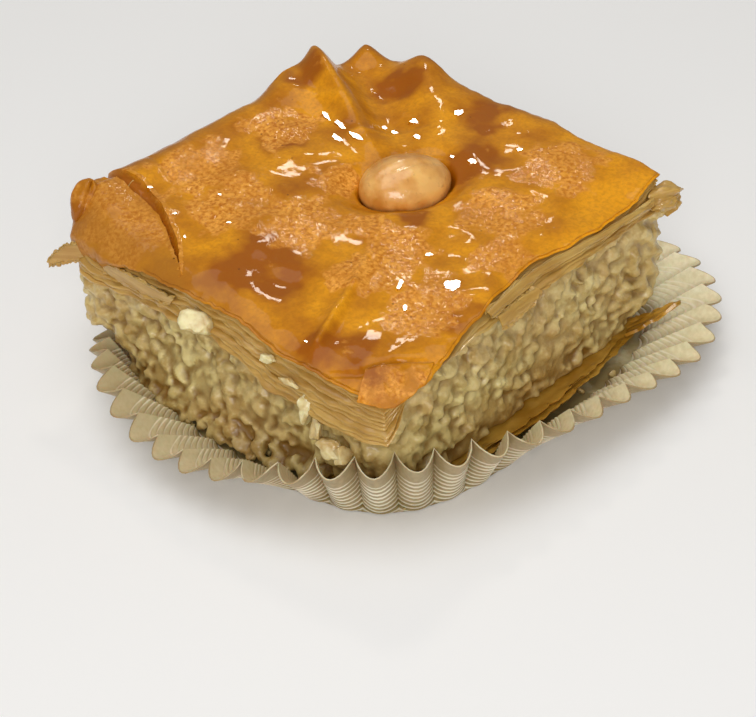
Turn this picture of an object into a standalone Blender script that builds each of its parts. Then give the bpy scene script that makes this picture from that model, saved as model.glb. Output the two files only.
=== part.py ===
"""A square piece of baklava in its fluted paper case, in metres, +Z up.

The origin is the middle of the case's underside. The cut sides face X and Y, and the sharp
front corner points towards +X, -Y. From the bottom up there are five pieces: the paper case,
a browned bottom sheet of phyllo, the chopped nut filling, the top stack of phyllo under its
glazed skin, and one blanched nut pressed into the middle.
"""

import math
import random

import bmesh
import bpy
from mathutils import Matrix, Vector, noise

GAP = 0.0003                    # air left between pieces that lie on each other

# The paper case: a round fluted cup that a square pastry has pushed out of round.
PAPER = 0.0004                  # wall, with its coating
BASE_HALF = 0.0345              # from the middle to the base's straight sides
BASE_SQUARENESS = 3.8           # superellipse power of the base
WALL_SLANT = 0.0128             # length of the wall from the base up to the rim
# Reach of the rim from the middle, every 45 degrees from +X round through +Y.
RIM_REACH = (0.0434, 0.0517, 0.0444, 0.0486, 0.0430, 0.0442, 0.0452, 0.0446)
# The wall is crushed down under the pastry's -X, -Y corner: to this share, within this angle.
CRUSHED_AT, CRUSHED_WITHIN, CRUSHED_SHARE = math.radians(219), math.radians(19), 0.45
FLUTES = 52
FLUTE_DEPTH = 0.0027            # crease to crest, at the rim
FLUTE_SHAPE = (-1.0, 0.45, 1.0, 0.45)   # one flute: a sharp crease, then a round crest
WALL_ROWS = (0.0, 0.22, 0.60, 1.0)

# The pastry.
HALF_SIDE = 0.0315              # from the middle to the cut sides of the top stack
CORNER_TRIM = 0.0011            # how far the stack's corners are rounded in
BOTTOM_LEVEL = PAPER + GAP      # underside of the bottom sheet
SHEET = 0.0012                  # the bottom sheet's thickness
FILLING_LEVEL = BOTTOM_LEVEL + SHEET + GAP
TOP_LEVEL = 0.0266              # height of the top in the middle, before its hills
TILT_X, TILT_Y, TWIST = -0.0847, 0.052, 0.00085
DOME = 0.0007
# The stack lies on the filling at this level, and turns down towards the -Y side.
SEAM_LEVEL, SEAM_DROP, SEAM_BEND_AT, SEAM_BEND = 0.0210, 0.0065, -0.012, 0.020

# The blanched nut.
NUT_CENTRE = Vector((0.0004, 0.0067, 0.0258))
NUT_HALF = Vector((0.0072, 0.0053, 0.0044))
NUT_TURN = math.radians(53)

# The crack that cuts off the -X, -Y corner of the skin runs along
# y = CRACK_START - CRACK_SLOPE * s - CRACK_BEND * s * s, with s = x + CRACK_FROM.
CRACK_FROM, CRACK_START, CRACK_SLOPE, CRACK_BEND = 0.033, -0.0205, 0.17, 9.0
CRACK_END = 0.0255              # the value of s where it closes
CRACK_DEPTH, CRACK_WIDTH = 0.0018, 0.0013

# Hills of the skin: start, end, half width, and height at the start and at the end.
PLEATS = (
    ((-0.0345, 0.0216), (-0.0070, 0.0090), 0.0027, 0.0050, 0.0004),
    ((-0.0345, 0.0155), (-0.0220, 0.0115), 0.0046, 0.0036, 0.0003),
    ((-0.0190, 0.0330), (-0.0070, 0.0200), 0.0046, 0.0030, 0.0003),
    ((-0.0325, 0.0325), (-0.0220, 0.0230), 0.0028, 0.0026, 0.0000),
    ((-0.0385, -0.0240), (-0.0300, -0.0270), 0.0034, 0.0030, 0.0008),
    ((-0.0360, -0.0205), (-0.0350, 0.0120), 0.0070, 0.0024, 0.0020),
    ((-0.0080, 0.0340), (0.0300, 0.0340), 0.0060, 0.0007, 0.0007),
    ((0.0078, -0.0068), (0.0172, -0.0290), 0.0014, 0.0000, 0.0007),
)
DIPS = (
    ((-0.0170, 0.0235), (-0.0120, 0.0180), 0.0042, 0.0016, 0.0012),
    ((-0.0300, 0.0140), (-0.0200, 0.0090), 0.0034, 0.0012, 0.0004),
    ((-0.0270, 0.0265), (-0.0150, 0.0170), 0.0030, 0.0016, 0.0008),
    ((-0.0050, 0.0110), (-0.0010, 0.0080), 0.0085, 0.0014, 0.0014),
)

# How far the skin hangs below its own rim, at places along each side from -1 to 1.
HEM = {
    "-Y": ((-1.0, 0.0098), (-0.86, 0.0080), (-0.45, 0.0026), (-0.2, 0.0010), (0.0, 0.0030),
           (0.45, 0.0038), (0.8, 0.0020), (1.0, 0.0016)),
    "+X": ((-1.0, 0.0016), (-0.5, 0.0009), (0.0, 0.0007), (0.7, 0.0008), (1.0, 0.0010)),
    "+Y": ((-1.0, 0.0010), (-0.3, 0.0016), (0.4, 0.0022), (1.0, 0.0030)),
    "-X": ((-1.0, 0.0030), (-0.5, 0.0018), (0.2, 0.0014), (0.6, 0.0040), (1.0, 0.0098)),
}
# How far the skin reaches past the stack, at places along each side from -1 to 1.
OVERHANG = {
    "-Y": ((-1.0, 0.0022), (-0.85, 0.0012), (-0.6, 0.0005), (1.0, 0.0003)),
    "+X": ((-1.0, 0.0003), (1.0, 0.0003)),
    "+Y": ((-1.0, 0.0006), (0.0, 0.0009), (0.6, 0.0012), (1.0, 0.0006)),
    "-X": ((-1.0, 0.0010), (-0.6, 0.0020), (0.0, 0.0023), (0.40, 0.0034), (0.60, 0.0060),
           (0.82, 0.0074), (1.0, 0.0042)),
}
EDGE_ROUND = {"-Y": 0.0014, "+X": 0.0003, "+Y": 0.0003, "-X": 0.0006}
EDGE_ROUND_WIDTH = 0.0035
GRID = 27                       # squares of the skin along each side
# Rows of the stack below the skin's hem: share of the way down to the seam, and how far out.
LEAF_ROWS = ((0.08, -0.0008), (0.34, 0.0002), (0.52, -0.0006), (0.80, 0.0001), (1.25, -0.0005))

# The nut filling.
CORE_HALF, CORE_SQUARENESS, CORE_TOP = 0.0302, 16.0, 0.0235
CORNER_BULGES = ((math.radians(225), 0.0050), (math.radians(45), 0.0024))   # where corners bulge out, and by how much
WALL_ROOM = 0.0031              # room kept for the outer grains in front of the paper
CORE_COLUMNS = 48
CORE_LEVELS = (FILLING_LEVEL, 0.0064, 0.0098, 0.0150, CORE_TOP)
GRAIN_ROWS, GRAIN_PITCH = 4, 0.0067
GRAIN_RADII = (0.0020, 0.0031)


def between(low, high, share):
    return low + (high - low) * share


def smooth(value):
    value = min(1.0, max(0.0, value))
    return value * value * (3 - 2 * value)


def curve_through(points, place):
    """A smooth value at place, through (place, value) pairs in rising order."""
    for (a, low), (b, high) in zip(points, points[1:]):
        if place <= b:
            return between(low, high, smooth((place - a) / (b - a)))
    return points[-1][1]


def round_curve(values, angle):
    """A smooth value at an angle, through values spaced evenly round a turn."""
    count = len(values)
    place = (angle / math.tau) % 1.0 * count
    i = int(place)
    t = place - i
    before, low, high, after = (values[(i + k) % count] for k in (-1, 0, 1, 2))
    return low + 0.5 * t * (
        high - before + t * (2 * before - 5 * low + 4 * high - after + t * (3 * (low - high) + after - before))
    )


def superellipse(half, power, angle):
    """Distance from the middle to a rounded square, in the direction of the angle."""
    return half / (abs(math.cos(angle)) ** power + abs(math.sin(angle)) ** power) ** (1 / power)


def evenly_round(reach, count):
    """Angles of points spaced evenly along a closed outline."""
    steps = 1440
    points = [Vector((math.cos(a), math.sin(a))) * reach(a)
              for a in (math.tau * i / steps for i in range(steps + 1))]
    lengths = [0.0]
    for a, b in zip(points, points[1:]):
        lengths.append(lengths[-1] + (b - a).length)
    angles, k = [], 0
    for i in range(count):
        target = lengths[-1] * i / count
        while lengths[k + 1] < target:
            k += 1
        angles.append(math.tau * (k + (target - lengths[k]) / (lengths[k + 1] - lengths[k])) / steps)
    return angles


def material(name, colour, roughness):
    made = bpy.data.materials.new(name)
    made.use_nodes = True
    shader = made.node_tree.nodes["Principled BSDF"]
    shader.inputs["Base Color"].default_value = (*colour, 1.0)
    shader.inputs["Roughness"].default_value = roughness
    shader.inputs["Metallic"].default_value = 0.0
    return made


def add_object(bm, name, collection, finish=None):
    """Turns a bmesh into an object of the collection."""
    mesh = bpy.data.meshes.new(name)
    bm.to_mesh(mesh)
    bm.free()
    obj = bpy.data.objects.new(name, mesh)
    collection.objects.link(obj)
    if finish:
        mesh.materials.append(finish)
    return obj


def start_ring(bm, count):
    """A filled circle that rows are grown from: its vertices in order, and its edges."""
    bmesh.ops.create_circle(bm, segments=count, radius=0.03)
    bm.verts.ensure_lookup_table()
    ring, edges = list(bm.verts), list(bm.edges)
    bmesh.ops.contextual_create(bm, geom=edges)
    return ring, edges


def close_rings(bm, edges):
    """Fills the last ring, gives both flat faces a middle vertex, and turns every face outward."""
    bmesh.ops.contextual_create(bm, geom=edges)
    bmesh.ops.poke(bm, faces=[face for face in bm.faces if len(face.verts) > 4])
    bmesh.ops.recalc_face_normals(bm, faces=bm.faces)


def grow_ring(bm, ring, edges):
    """Extrudes a ring of edges, and gives the new vertices in the old order."""
    grown = bmesh.ops.extrude_edge_only(bm, edges=edges)["geom"]
    old = set(ring)
    above = {}
    for vert in (v for v in grown if isinstance(v, bmesh.types.BMVert)):
        for edge in vert.link_edges:
            if edge.other_vert(vert) in old:
                above[edge.other_vert(vert)] = vert
    return [above[v] for v in ring], [e for e in grown if isinstance(e, bmesh.types.BMEdge)]


def apply_modifier(obj, kind, **settings):
    modifier = obj.modifiers.new(kind.title(), kind)
    for key, value in settings.items():
        setattr(modifier, key, value)
    bpy.ops.object.select_all(action="DESELECT")
    bpy.context.view_layer.objects.active = obj
    obj.select_set(True)
    bpy.ops.object.modifier_apply(modifier=modifier.name)


def remove_all(objects):
    for obj in list(objects):
        bpy.data.objects.remove(obj)


def new_collection(name):
    made = bpy.data.collections.new(name)
    bpy.context.scene.collection.children.link(made)
    return made


# The paper case

def base_reach(angle):
    return superellipse(BASE_HALF, BASE_SQUARENESS, angle)


def rim_reach(angle):
    return round_curve(RIM_REACH, angle)


def bell(value, middle, width):
    """1 in the middle, and less on both sides of it."""
    return math.exp(-(((value - middle) / width) ** 2))


def wall_rise(angle):
    """Height of the rim: the wall's length is the same everywhere, apart from where it is crushed."""
    out = rim_reach(angle) - base_reach(angle)
    rise = math.sqrt(WALL_SLANT ** 2 - out ** 2)
    return rise * (1 - (1 - CRUSHED_SHARE) * bell(angle, CRUSHED_AT, CRUSHED_WITHIN))


def wall_point(angle, flute, share, inset, lift):
    """A point of the wall: share 0 at the base and 1 at the rim, flute -1 in a crease."""
    out = rim_reach(angle) - base_reach(angle)
    rise = wall_rise(angle)
    reach = base_reach(angle) + out * share ** 1.15 + flute * FLUTE_DEPTH / 2 * share ** 0.8 - inset
    return Vector((math.cos(angle) * reach, math.sin(angle) * reach, lift + (rise - lift) * share))


def build_case(collection, finish):
    """A fluted wall that rises outside, turns over at the rim and comes down inside."""
    per_flute = len(FLUTE_SHAPE)
    angles = evenly_round(rim_reach, FLUTES * per_flute)
    rows = [(share, 0.0, 0.0) for share in WALL_ROWS]
    rows += [(share, PAPER, PAPER) for share in reversed(WALL_ROWS)]
    bm = bmesh.new()
    for number, (share, inset, lift) in enumerate(rows):
        if number == 0:
            ring, edges = start_ring(bm, len(angles))
        else:
            ring, edges = grow_ring(bm, ring, edges)
        for i, vert in enumerate(ring):
            vert.co = wall_point(angles[i], FLUTE_SHAPE[i % per_flute], share, inset, lift)
    wall = [face for face in bm.faces if len(face.verts) == 4]
    bmesh.ops.triangulate(bm, faces=wall, quad_method="SHORT_EDGE")
    close_rings(bm, edges)
    return add_object(bm, "paper_case", collection, finish)


# The seam between the top stack and the filling

def seam_height(y):
    past = max(0.0, (SEAM_BEND_AT - y) / SEAM_BEND)
    return SEAM_LEVEL - SEAM_DROP * past ** 1.7


def seam_cutter(name, collection, offset, reach):
    """A solid whose one face follows the seam, and which goes on by reach, up or down."""
    rows, half = 14, 0.045
    bm = bmesh.new()
    bmesh.ops.create_grid(bm, x_segments=1, y_segments=rows, size=half)
    for vert in bm.verts:
        vert.co.z = seam_height(max(vert.co.y, -0.036)) + offset
    grown = bmesh.ops.extrude_face_region(bm, geom=list(bm.faces))["geom"]
    far = [v for v in grown if isinstance(v, bmesh.types.BMVert)]
    for vert in far:
        vert.co.z = SEAM_LEVEL + reach
    bmesh.ops.recalc_face_normals(bm, faces=bm.faces)
    cutter = add_object(bm, name, collection)
    cutter.hide_render = True
    cutter.display_type = "WIRE"
    return cutter


# The skin and the stack under it

def ridge(x, y, start, end, width, first, last):
    """Height of a long hill that runs from start to end."""
    a, b = Vector(start), Vector(end)
    line = b - a
    share = min(1.0, max(0.0, (Vector((x, y)) - a).dot(line) / line.length_squared))
    away = (Vector((x, y)) - a - line * share).length
    return between(first, last, share) * math.exp(-((away / width) ** 2))


def crack_place(x, y):
    """How far a point lies past the crack, towards the corner, and how open the crack is there."""
    s = max(0.0, x + CRACK_FROM)
    line = CRACK_START - CRACK_SLOPE * s - CRACK_BEND * s * s
    past = (line - y) / math.hypot(1.0, CRACK_SLOPE + 2 * CRACK_BEND * s)
    return past, smooth((CRACK_END - s) / 0.008)


def nut_distance(x, y):
    """1 on the nut's outline in plan, and more outside it."""
    away = Matrix.Rotation(-NUT_TURN, 2) @ Vector((x - NUT_CENTRE.x, y - NUT_CENTRE.y))
    return math.hypot(away.x / NUT_HALF.x, away.y / NUT_HALF.y)


def skin_height(x, y):
    u, v = x / HALF_SIDE, y / HALF_SIDE
    z = TOP_LEVEL + TILT_X * x + TILT_Y * y + TWIST * u * v
    z += DOME * (1 - max(abs(u), abs(v)) ** 4)
    z += sum(ridge(x, y, *pleat) for pleat in PLEATS)
    z -= sum(ridge(x, y, *dip) for dip in DIPS)
    moat = nut_distance(x, y) - 1.1
    z -= 0.0011 * math.exp(-((moat / 0.35) ** 2))
    past, opened = crack_place(x, y)
    z -= opened * CRACK_DEPTH * math.exp(-(((past - 0.0010) / CRACK_WIDTH) ** 2))
    z -= 0.0009 * smooth(past / 0.002) * opened + 18.0 * max(0.0, past) ** 2
    z += 0.0007 * noise.noise(Vector((x, y, 0.0)) / 0.011) + 0.0003 * noise.noise(Vector((x, y, 0.1)) / 0.005)
    for side, depth in EDGE_ROUND.items():
        inside = HALF_SIDE - side_place(side, x, y)[0]
        z -= depth * max(0.0, 1 - inside / EDGE_ROUND_WIDTH) ** 2
    return z


def side_place(side, x, y):
    """How far out towards a side a point lies, and how far along that side, clockwise from above."""
    return {"-Y": (-y, x), "+X": (x, y), "+Y": (y, -x), "-X": (-x, -y)}[side]


def nearest_side(x, y):
    return max(HEM, key=lambda side: side_place(side, x, y)[0])


def stack_outline(x, y):
    """Moves a point of the square grid to the stack's uneven outline."""
    u, v = x / HALF_SIDE, y / HALF_SIDE
    corner = (u * u * v * v) ** 3
    wave = 1 + 0.012 * noise.noise(Vector((x, y, 0.4)) / 0.009) * max(abs(u), abs(v)) ** 8
    return x * wave - math.copysign(CORNER_TRIM * corner, u), y * wave - math.copysign(CORNER_TRIM * corner, v)


def outward(x, y):
    """Direction out of the nearest side, turning at the corners."""
    return Vector((x, y)).normalized() * 0.25 + Vector(
        (math.copysign(abs(x / HALF_SIDE) ** 12, x), math.copysign(abs(y / HALF_SIDE) ** 12, y)))


def overhang(x, y):
    """How far the skin is pushed out over the stack near its edges."""
    pushed = Vector((0.0, 0.0, 0.0))
    for side, line in OVERHANG.items():
        out, place = side_place(side, x, y)
        share = max(0.0, out / HALF_SIDE) ** 8
        along = {"-Y": (0, -1), "+X": (1, 0), "+Y": (0, 1), "-X": (-1, 0)}[side]
        reach = curve_through(line, max(-1.0, min(1.0, place / HALF_SIDE)))
        pushed += Vector((*along, 0.0)) * reach * share
    return pushed


def build_skin_block(name, collection, finish):
    """The whole stack before its underside is cut: a hilly grid with rows of leaves down its sides."""
    bm = bmesh.new()
    bmesh.ops.create_grid(bm, x_segments=GRID, y_segments=GRID, size=HALF_SIDE)
    edges = [e for e in bm.edges if e.is_boundary]
    boundary = {v for e in edges for v in e.verts}
    rim = {}
    for vert in bm.verts:
        x, y = stack_outline(vert.co.x, vert.co.y)
        start = Vector((x, y, 0.0))
        pushed = overhang(x, y)
        vert.co = start + pushed
        vert.co.z = start.z = skin_height(vert.co.x, vert.co.y)
        if vert in boundary:
            rim[vert] = (start, pushed)
    rows = [("hem", 0.55, 0.0004), ("hem", 1.0, 0.0002)] + [("leaf", *row) for row in LEAF_ROWS]
    for kind, share, out in rows:
        grown = bmesh.ops.extrude_edge_only(bm, edges=edges)["geom"]
        edges = [e for e in grown if isinstance(e, bmesh.types.BMEdge)]
        fresh = {}
        for vert in (v for v in grown if isinstance(v, bmesh.types.BMVert)):
            above = next(e.other_vert(vert) for e in vert.link_edges if e.other_vert(vert) in rim)
            start, pushed = rim[above]
            side = nearest_side(start.x, start.y)
            hang = curve_through(HEM[side], side_place(side, start.x, start.y)[1] / HALF_SIDE)
            hem = start.z - hang
            low = min(seam_height(start.y), hem - 0.001)
            z = start.z - hang * share if kind == "hem" else between(hem, low, share)
            wobble = 0.0005 * noise.noise(Vector((start.x, start.y, z * 3)) / 0.004)
            out_by = outward(start.x, start.y) * (out + wobble)
            carried = pushed * ((1.0 - 0.35 * share) if kind == "hem" else 0.15)
            vert.co = Vector((start.x + out_by.x, start.y + out_by.y, z)) + carried
            fresh[vert] = (start, pushed)
        rim = fresh
    bmesh.ops.contextual_create(bm, geom=edges)
    bmesh.ops.recalc_face_normals(bm, faces=bm.faces)
    return add_object(bm, name, collection, finish)


def build_crack_cutter(helpers):
    """A curved wedge, wide at the top and closed at its far end."""
    bm = bmesh.new()
    bmesh.ops.create_grid(bm, x_segments=9, y_segments=1, size=1.0)
    places = {}
    for vert in bm.verts:
        s = between(-0.004, CRACK_END, (vert.co.x + 1) / 2)
        slope = CRACK_SLOPE + 2 * CRACK_BEND * s
        across = Vector((slope, 1.0, 0.0)).normalized()
        half = 0.0013 * smooth((CRACK_END - s) / 0.012) + 0.0002
        middle = Vector((s - CRACK_FROM, CRACK_START - CRACK_SLOPE * s - CRACK_BEND * s * s, 0.0))
        places[vert] = (middle, across * (half * vert.co.y))
    grown = bmesh.ops.extrude_face_region(bm, geom=list(bm.faces))["geom"]
    below = {v for v in grown if isinstance(v, bmesh.types.BMVert)}
    for vert, (middle, side) in places.items():
        low = next(e.other_vert(vert) for e in vert.link_edges if e.other_vert(vert) in below)
        s = middle.x + CRACK_FROM
        floor = skin_height(middle.x, middle.y) - CRACK_DEPTH * between(0.1, 0.75, smooth((s - 0.002) / 0.008))
        vert.co = middle + side * 1.6 + Vector((0, 0, floor + 0.006))
        low.co = middle + side * 0.5 + Vector((0, 0, floor))
    bmesh.ops.recalc_face_normals(bm, faces=bm.faces)
    cutter = add_object(bm, "crack", helpers)
    cutter.hide_render = True
    cutter.display_type = "WIRE"
    return cutter


def add_lump(collection, name, place, half, turn, detail=1):
    """A rounded, slightly uneven bit of nut or pastry."""
    bm = bmesh.new()
    bmesh.ops.create_icosphere(bm, subdivisions=detail, radius=1.0)
    spin = Matrix.Rotation(turn[0], 3, "Z") @ Matrix.Rotation(turn[1], 3, "X")
    for vert in bm.verts:
        uneven = 1 + 0.14 * noise.noise(vert.co * 1.3 + Vector(place) * 900)
        vert.co = Vector(place) + spin @ (Vector(half) * uneven * vert.co.normalized())
    return add_object(bm, name, collection)


def nut_mesh(grow):
    """The blanched nut, larger by grow all round."""
    bm = bmesh.new()
    bmesh.ops.create_uvsphere(bm, u_segments=18, v_segments=10, radius=1.0)
    for vert in bm.verts:
        blunt = 1 - 0.10 * vert.co.x
        co = Vector((vert.co.x * (NUT_HALF.x + grow), vert.co.y * blunt * (NUT_HALF.y + grow),
                     vert.co.z * blunt * (NUT_HALF.z + grow)))
        vert.co = NUT_CENTRE + Matrix.Rotation(NUT_TURN, 3, "Z") @ co
    return bm


def build_top_stack(collection, helpers, finish):
    """Skin and leaves, with the nut's pocket, the corner flake and the stuck-on nut bits."""
    stack = build_skin_block("top_phyllo", collection, finish)
    bits = new_collection("stuck_bits")
    add_lump(bits, "bit_large", (-0.0032, -0.0322, 0.0208), (0.0031, 0.0017, 0.0022), (0.1, 0.4))
    add_lump(bits, "bit_small", (0.0108, -0.0322, 0.0200), (0.0015, 0.0012, 0.0013), (0.5, 0.2))
    add_lump(bits, "bit_chip", (0.0154, -0.0321, 0.0184), (0.0022, 0.0009, 0.0012), (-0.2, 0.6))
    add_lump(bits, "corner_crumb", (0.0308, 0.0312, 0.0236), (0.0030, 0.0024, 0.0024), (0.8, 0.6))
    add_lump(bits, "corner_crumb_low", (0.0316, 0.0322, 0.0225), (0.0020, 0.0016, 0.0020), (0.2, 0.9))
    add_lump(bits, "corner_leaf", (-0.0322, -0.0330, 0.0176), (0.0050, 0.0022, 0.0008), (0.6, 0.3))
    apply_modifier(stack, "BOOLEAN", operation="UNION", operand_type="COLLECTION",
                   collection=bits, solver="EXACT")
    remove_all(bits.objects)
    pocket = add_object(nut_mesh(GAP), "nut_pocket", helpers)
    pocket.hide_render = True
    below = seam_cutter("below_stack", helpers, GAP / 2, -0.03)
    for cutter in (below, pocket, build_crack_cutter(helpers)):
        apply_modifier(stack, "BOOLEAN", operation="DIFFERENCE", object=cutter, solver="EXACT")
    return stack


# The filling

def room_inside(angle, level):
    """How far out the case leaves room at a level, which is anywhere above its rim."""
    share = level / wall_rise(angle)
    if share > 1.0:
        return 1.0
    out = rim_reach(angle) - base_reach(angle)
    return base_reach(angle) + out * share ** 1.15 - FLUTE_DEPTH / 2 * share ** 0.8 - PAPER - WALL_ROOM


def core_reach(angle, level):
    """The filling's side: square with bulging corners higher up, and pressed in by the paper low down."""
    high = smooth((level - 0.003) / 0.006)
    free = superellipse(CORE_HALF, between(7.0, CORE_SQUARENESS, high), angle)
    free += high * sum(bulge * bell(angle, corner, math.radians(8)) for corner, bulge in CORNER_BULGES)
    rim = wall_rise(angle)
    held = room_inside(angle, min(level, rim))
    return free if free < held else between(held, free, smooth((level - rim - 0.0010) / 0.0026))


def build_filling(collection, helpers, finish):
    """A rough core with chopped nuts fused on all round, cut off along the seam."""
    def reach(angle):
        return superellipse(CORE_HALF, 8.0, angle)

    bm = bmesh.new()
    angles = evenly_round(reach, CORE_COLUMNS)
    for row, level in enumerate(CORE_LEVELS):
        ring, edges = grow_ring(bm, ring, edges) if row else start_ring(bm, CORE_COLUMNS)
        for vert, angle in zip(ring, angles):
            rough = 0.0009 * noise.noise(Vector((math.cos(angle) * 7, math.sin(angle) * 7, row * 1.3)))
            away = core_reach(angle, level) + rough
            vert.co = Vector((math.cos(angle) * away, math.sin(angle) * away, level))
    close_rings(bm, edges)
    filling = add_object(bm, "nut_filling", collection, finish)

    draw = random.Random(11)
    grains = new_collection("grains")
    perimeter = 8 * CORE_HALF * 0.97
    for row in range(GRAIN_ROWS):
        count = int(perimeter / GRAIN_PITCH)
        for angle in evenly_round(reach, count):
            radius = between(*GRAIN_RADII, draw.random() ** 1.5)
            turned = angle + draw.uniform(-0.4, 0.4) * math.tau / count + row * math.pi / count
            out_by = draw.uniform(0.0, 0.0009)
            level = between(FILLING_LEVEL + radius, SEAM_LEVEL - 0.0005,
                            (row + draw.uniform(0.1, 0.9)) / GRAIN_ROWS)
            away = core_reach(turned % math.tau, level) - 0.55 * radius + out_by
            half = tuple(radius * draw.uniform(0.8, 1.15) for _ in range(3))
            place = (math.cos(turned) * away, math.sin(turned) * away, max(level, FILLING_LEVEL + radius * 1.2))
            add_lump(grains, f"grain_{row}_{len(grains.objects)}", place, half,
                     (draw.uniform(0, 3), draw.uniform(0, 3)))
    apply_modifier(filling, "BOOLEAN", operation="UNION", operand_type="COLLECTION",
                   collection=grains, solver="MANIFOLD")
    remove_all(grains.objects)
    above = seam_cutter("above_filling", helpers, -GAP / 2, 0.02)
    apply_modifier(filling, "BOOLEAN", operation="DIFFERENCE", object=above, solver="MANIFOLD")
    return filling


# The bottom sheet

def build_bottom_sheet(collection, finish):
    """A thin browned sheet that sticks out past the filling and curls up on the +X side."""
    angles = [math.tau * i / SHEET_COLUMNS for i in range(SHEET_COLUMNS)]
    rows = [(share, 0.0) for share in (0.0, 0.5, 1.0)] + [(share, SHEET) for share in (1.0, 0.5, 0.0)]
    bm = bmesh.new()
    for number, (share, lift) in enumerate(rows):
        ring, edges = grow_ring(bm, ring, edges) if number else start_ring(bm, SHEET_COLUMNS)
        for vert, angle in zip(ring, angles):
            curl = max(0.0, math.cos(angle)) ** 6
            wave = 0.0004 * math.sin(angle * 9) + 0.0003 * math.sin(angle * 23)
            reach = superellipse(SHEET_HALF, 7.0, angle) + share * (0.0006 + 0.0036 * curl) + wave * share
            rise = 0.0019 * curl if share == 1.0 else 0.0
            vert.co = Vector((math.cos(angle) * reach, math.sin(angle) * reach, BOTTOM_LEVEL + lift + rise))
    close_rings(bm, edges)
    sheet = add_object(bm, "bottom_phyllo", collection, finish)
    slivers = new_collection("slivers")
    build_sliver(slivers)
    apply_modifier(sheet, "BOOLEAN", operation="UNION", operand_type="COLLECTION",
                   collection=slivers, solver="EXACT")
    remove_all(slivers.objects)
    return sheet


SHEET_HALF, SHEET_COLUMNS = 0.0300, 56
SLIVER_START, SLIVER_TIP = Vector((0.0290, 0.0240, 0.0012)), Vector((0.0352, 0.0292, 0.0064))


def build_sliver(collection):
    """The pointed strip that leaves the sheet at the +X, +Y corner and lies up the paper."""
    bm = bmesh.new()
    rows = 6
    bmesh.ops.create_grid(bm, x_segments=rows, y_segments=1, size=1.0)
    along = SLIVER_TIP - SLIVER_START
    across = Vector((-along.y, along.x, 0.0)).normalized()
    for vert in bm.verts:
        share = (vert.co.x + 1) / 2
        width = 0.0019 * (1 - 0.92 * share ** 1.5)
        rise = Vector((0, 0, -0.0003 * math.sin(share * math.pi)))
        vert.co = SLIVER_START + along * share + across * (vert.co.y * width) + rise
    sliver = add_object(bm, "sliver", collection)
    apply_modifier(sliver, "SOLIDIFY", thickness=0.0007, offset=0.0)
    return sliver


def shade(obj):
    obj.data.shade_smooth()
    obj.data.set_sharp_from_angle(angle=math.radians(40))


def main():
    remove_all(bpy.data.objects)
    baklava = new_collection("baklava")
    helpers = new_collection("helpers")
    helpers.hide_render = True
    paper = material("greaseproof_paper", (0.62, 0.58, 0.42), 0.45)
    browned = material("browned_phyllo", (0.48, 0.22, 0.03), 0.35)
    nuts = material("chopped_nuts", (0.55, 0.45, 0.22), 0.5)
    skin = material("glazed_phyllo", (0.60, 0.28, 0.04), 0.2)
    blanched = material("blanched_nut", (0.65, 0.42, 0.16), 0.3)
    build_case(baklava, paper)
    build_bottom_sheet(baklava, browned)
    build_filling(baklava, helpers, nuts)
    build_top_stack(baklava, helpers, skin)
    add_object(nut_mesh(0.0), "top_nut", baklava, blanched)
    for obj in baklava.objects:
        shade(obj)


main()
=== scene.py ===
import math
import random

import bpy
import numpy as np
from mathutils import Matrix, Vector, kdtree, noise


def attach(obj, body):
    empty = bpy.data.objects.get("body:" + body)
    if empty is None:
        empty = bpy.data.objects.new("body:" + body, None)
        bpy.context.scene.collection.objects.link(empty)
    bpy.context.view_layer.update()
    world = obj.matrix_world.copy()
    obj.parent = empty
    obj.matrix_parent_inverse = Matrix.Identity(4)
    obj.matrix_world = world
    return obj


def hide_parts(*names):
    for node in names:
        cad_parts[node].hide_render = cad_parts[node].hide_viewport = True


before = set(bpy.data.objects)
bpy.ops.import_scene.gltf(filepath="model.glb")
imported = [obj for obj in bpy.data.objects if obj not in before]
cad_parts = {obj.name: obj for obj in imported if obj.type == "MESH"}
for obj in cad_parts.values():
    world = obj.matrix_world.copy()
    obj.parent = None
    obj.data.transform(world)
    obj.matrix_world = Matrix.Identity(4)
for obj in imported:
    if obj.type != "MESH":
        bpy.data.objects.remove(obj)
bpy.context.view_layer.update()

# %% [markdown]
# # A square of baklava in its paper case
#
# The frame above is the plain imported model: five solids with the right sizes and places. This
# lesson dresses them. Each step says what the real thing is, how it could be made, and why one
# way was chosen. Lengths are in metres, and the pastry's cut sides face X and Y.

MM = 0.001

# %% [markdown]
# ## Camera, light and floor
#
# The picture was taken with a phone from close by, so nearer things look larger. The camera's
# place was worked out from the pastry's corners, and it is turned by the three directions that
# it sees as right, up and back. The light is a pale room with a small bright lamp behind the
# pastry, which puts the white glints on the wet top, a wide soft one above, and a soft one
# beside the camera, which lights the cut sides.

# %% Camera
SEEN_RIGHT = Vector((0.72127, 0.68912, -0.06989))
SEEN_UP = Vector((-0.36621, 0.46504, 0.80599))
SEEN_BACK = Vector((0.58793, -0.55574, 0.58779))
CAMERA_PLACE = Vector((0.14078, -0.13500, 0.13877))
PICTURE_WIDTH, FOCAL_PIXELS = 756, 1500


def look_at_the_pastry():
    bpy.ops.object.camera_add()
    camera = bpy.context.object
    camera.name = "photo_camera"
    camera.data.sensor_width = 36
    camera.data.lens = 36 * FOCAL_PIXELS / PICTURE_WIDTH
    camera.data.clip_start = 0.01
    turned = Matrix((SEEN_RIGHT, SEEN_UP, SEEN_BACK)).transposed().to_4x4()
    turned.translation = CAMERA_PLACE
    camera.matrix_world = turned
    bpy.context.scene.camera = camera


look_at_the_pastry()

# %% Lights and floor
LAMP_BEHIND = Vector((-0.290, 0.320, 0.470))
LAMPS_AIM_AT = Vector((0.0, 0.0, 0.02))


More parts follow.
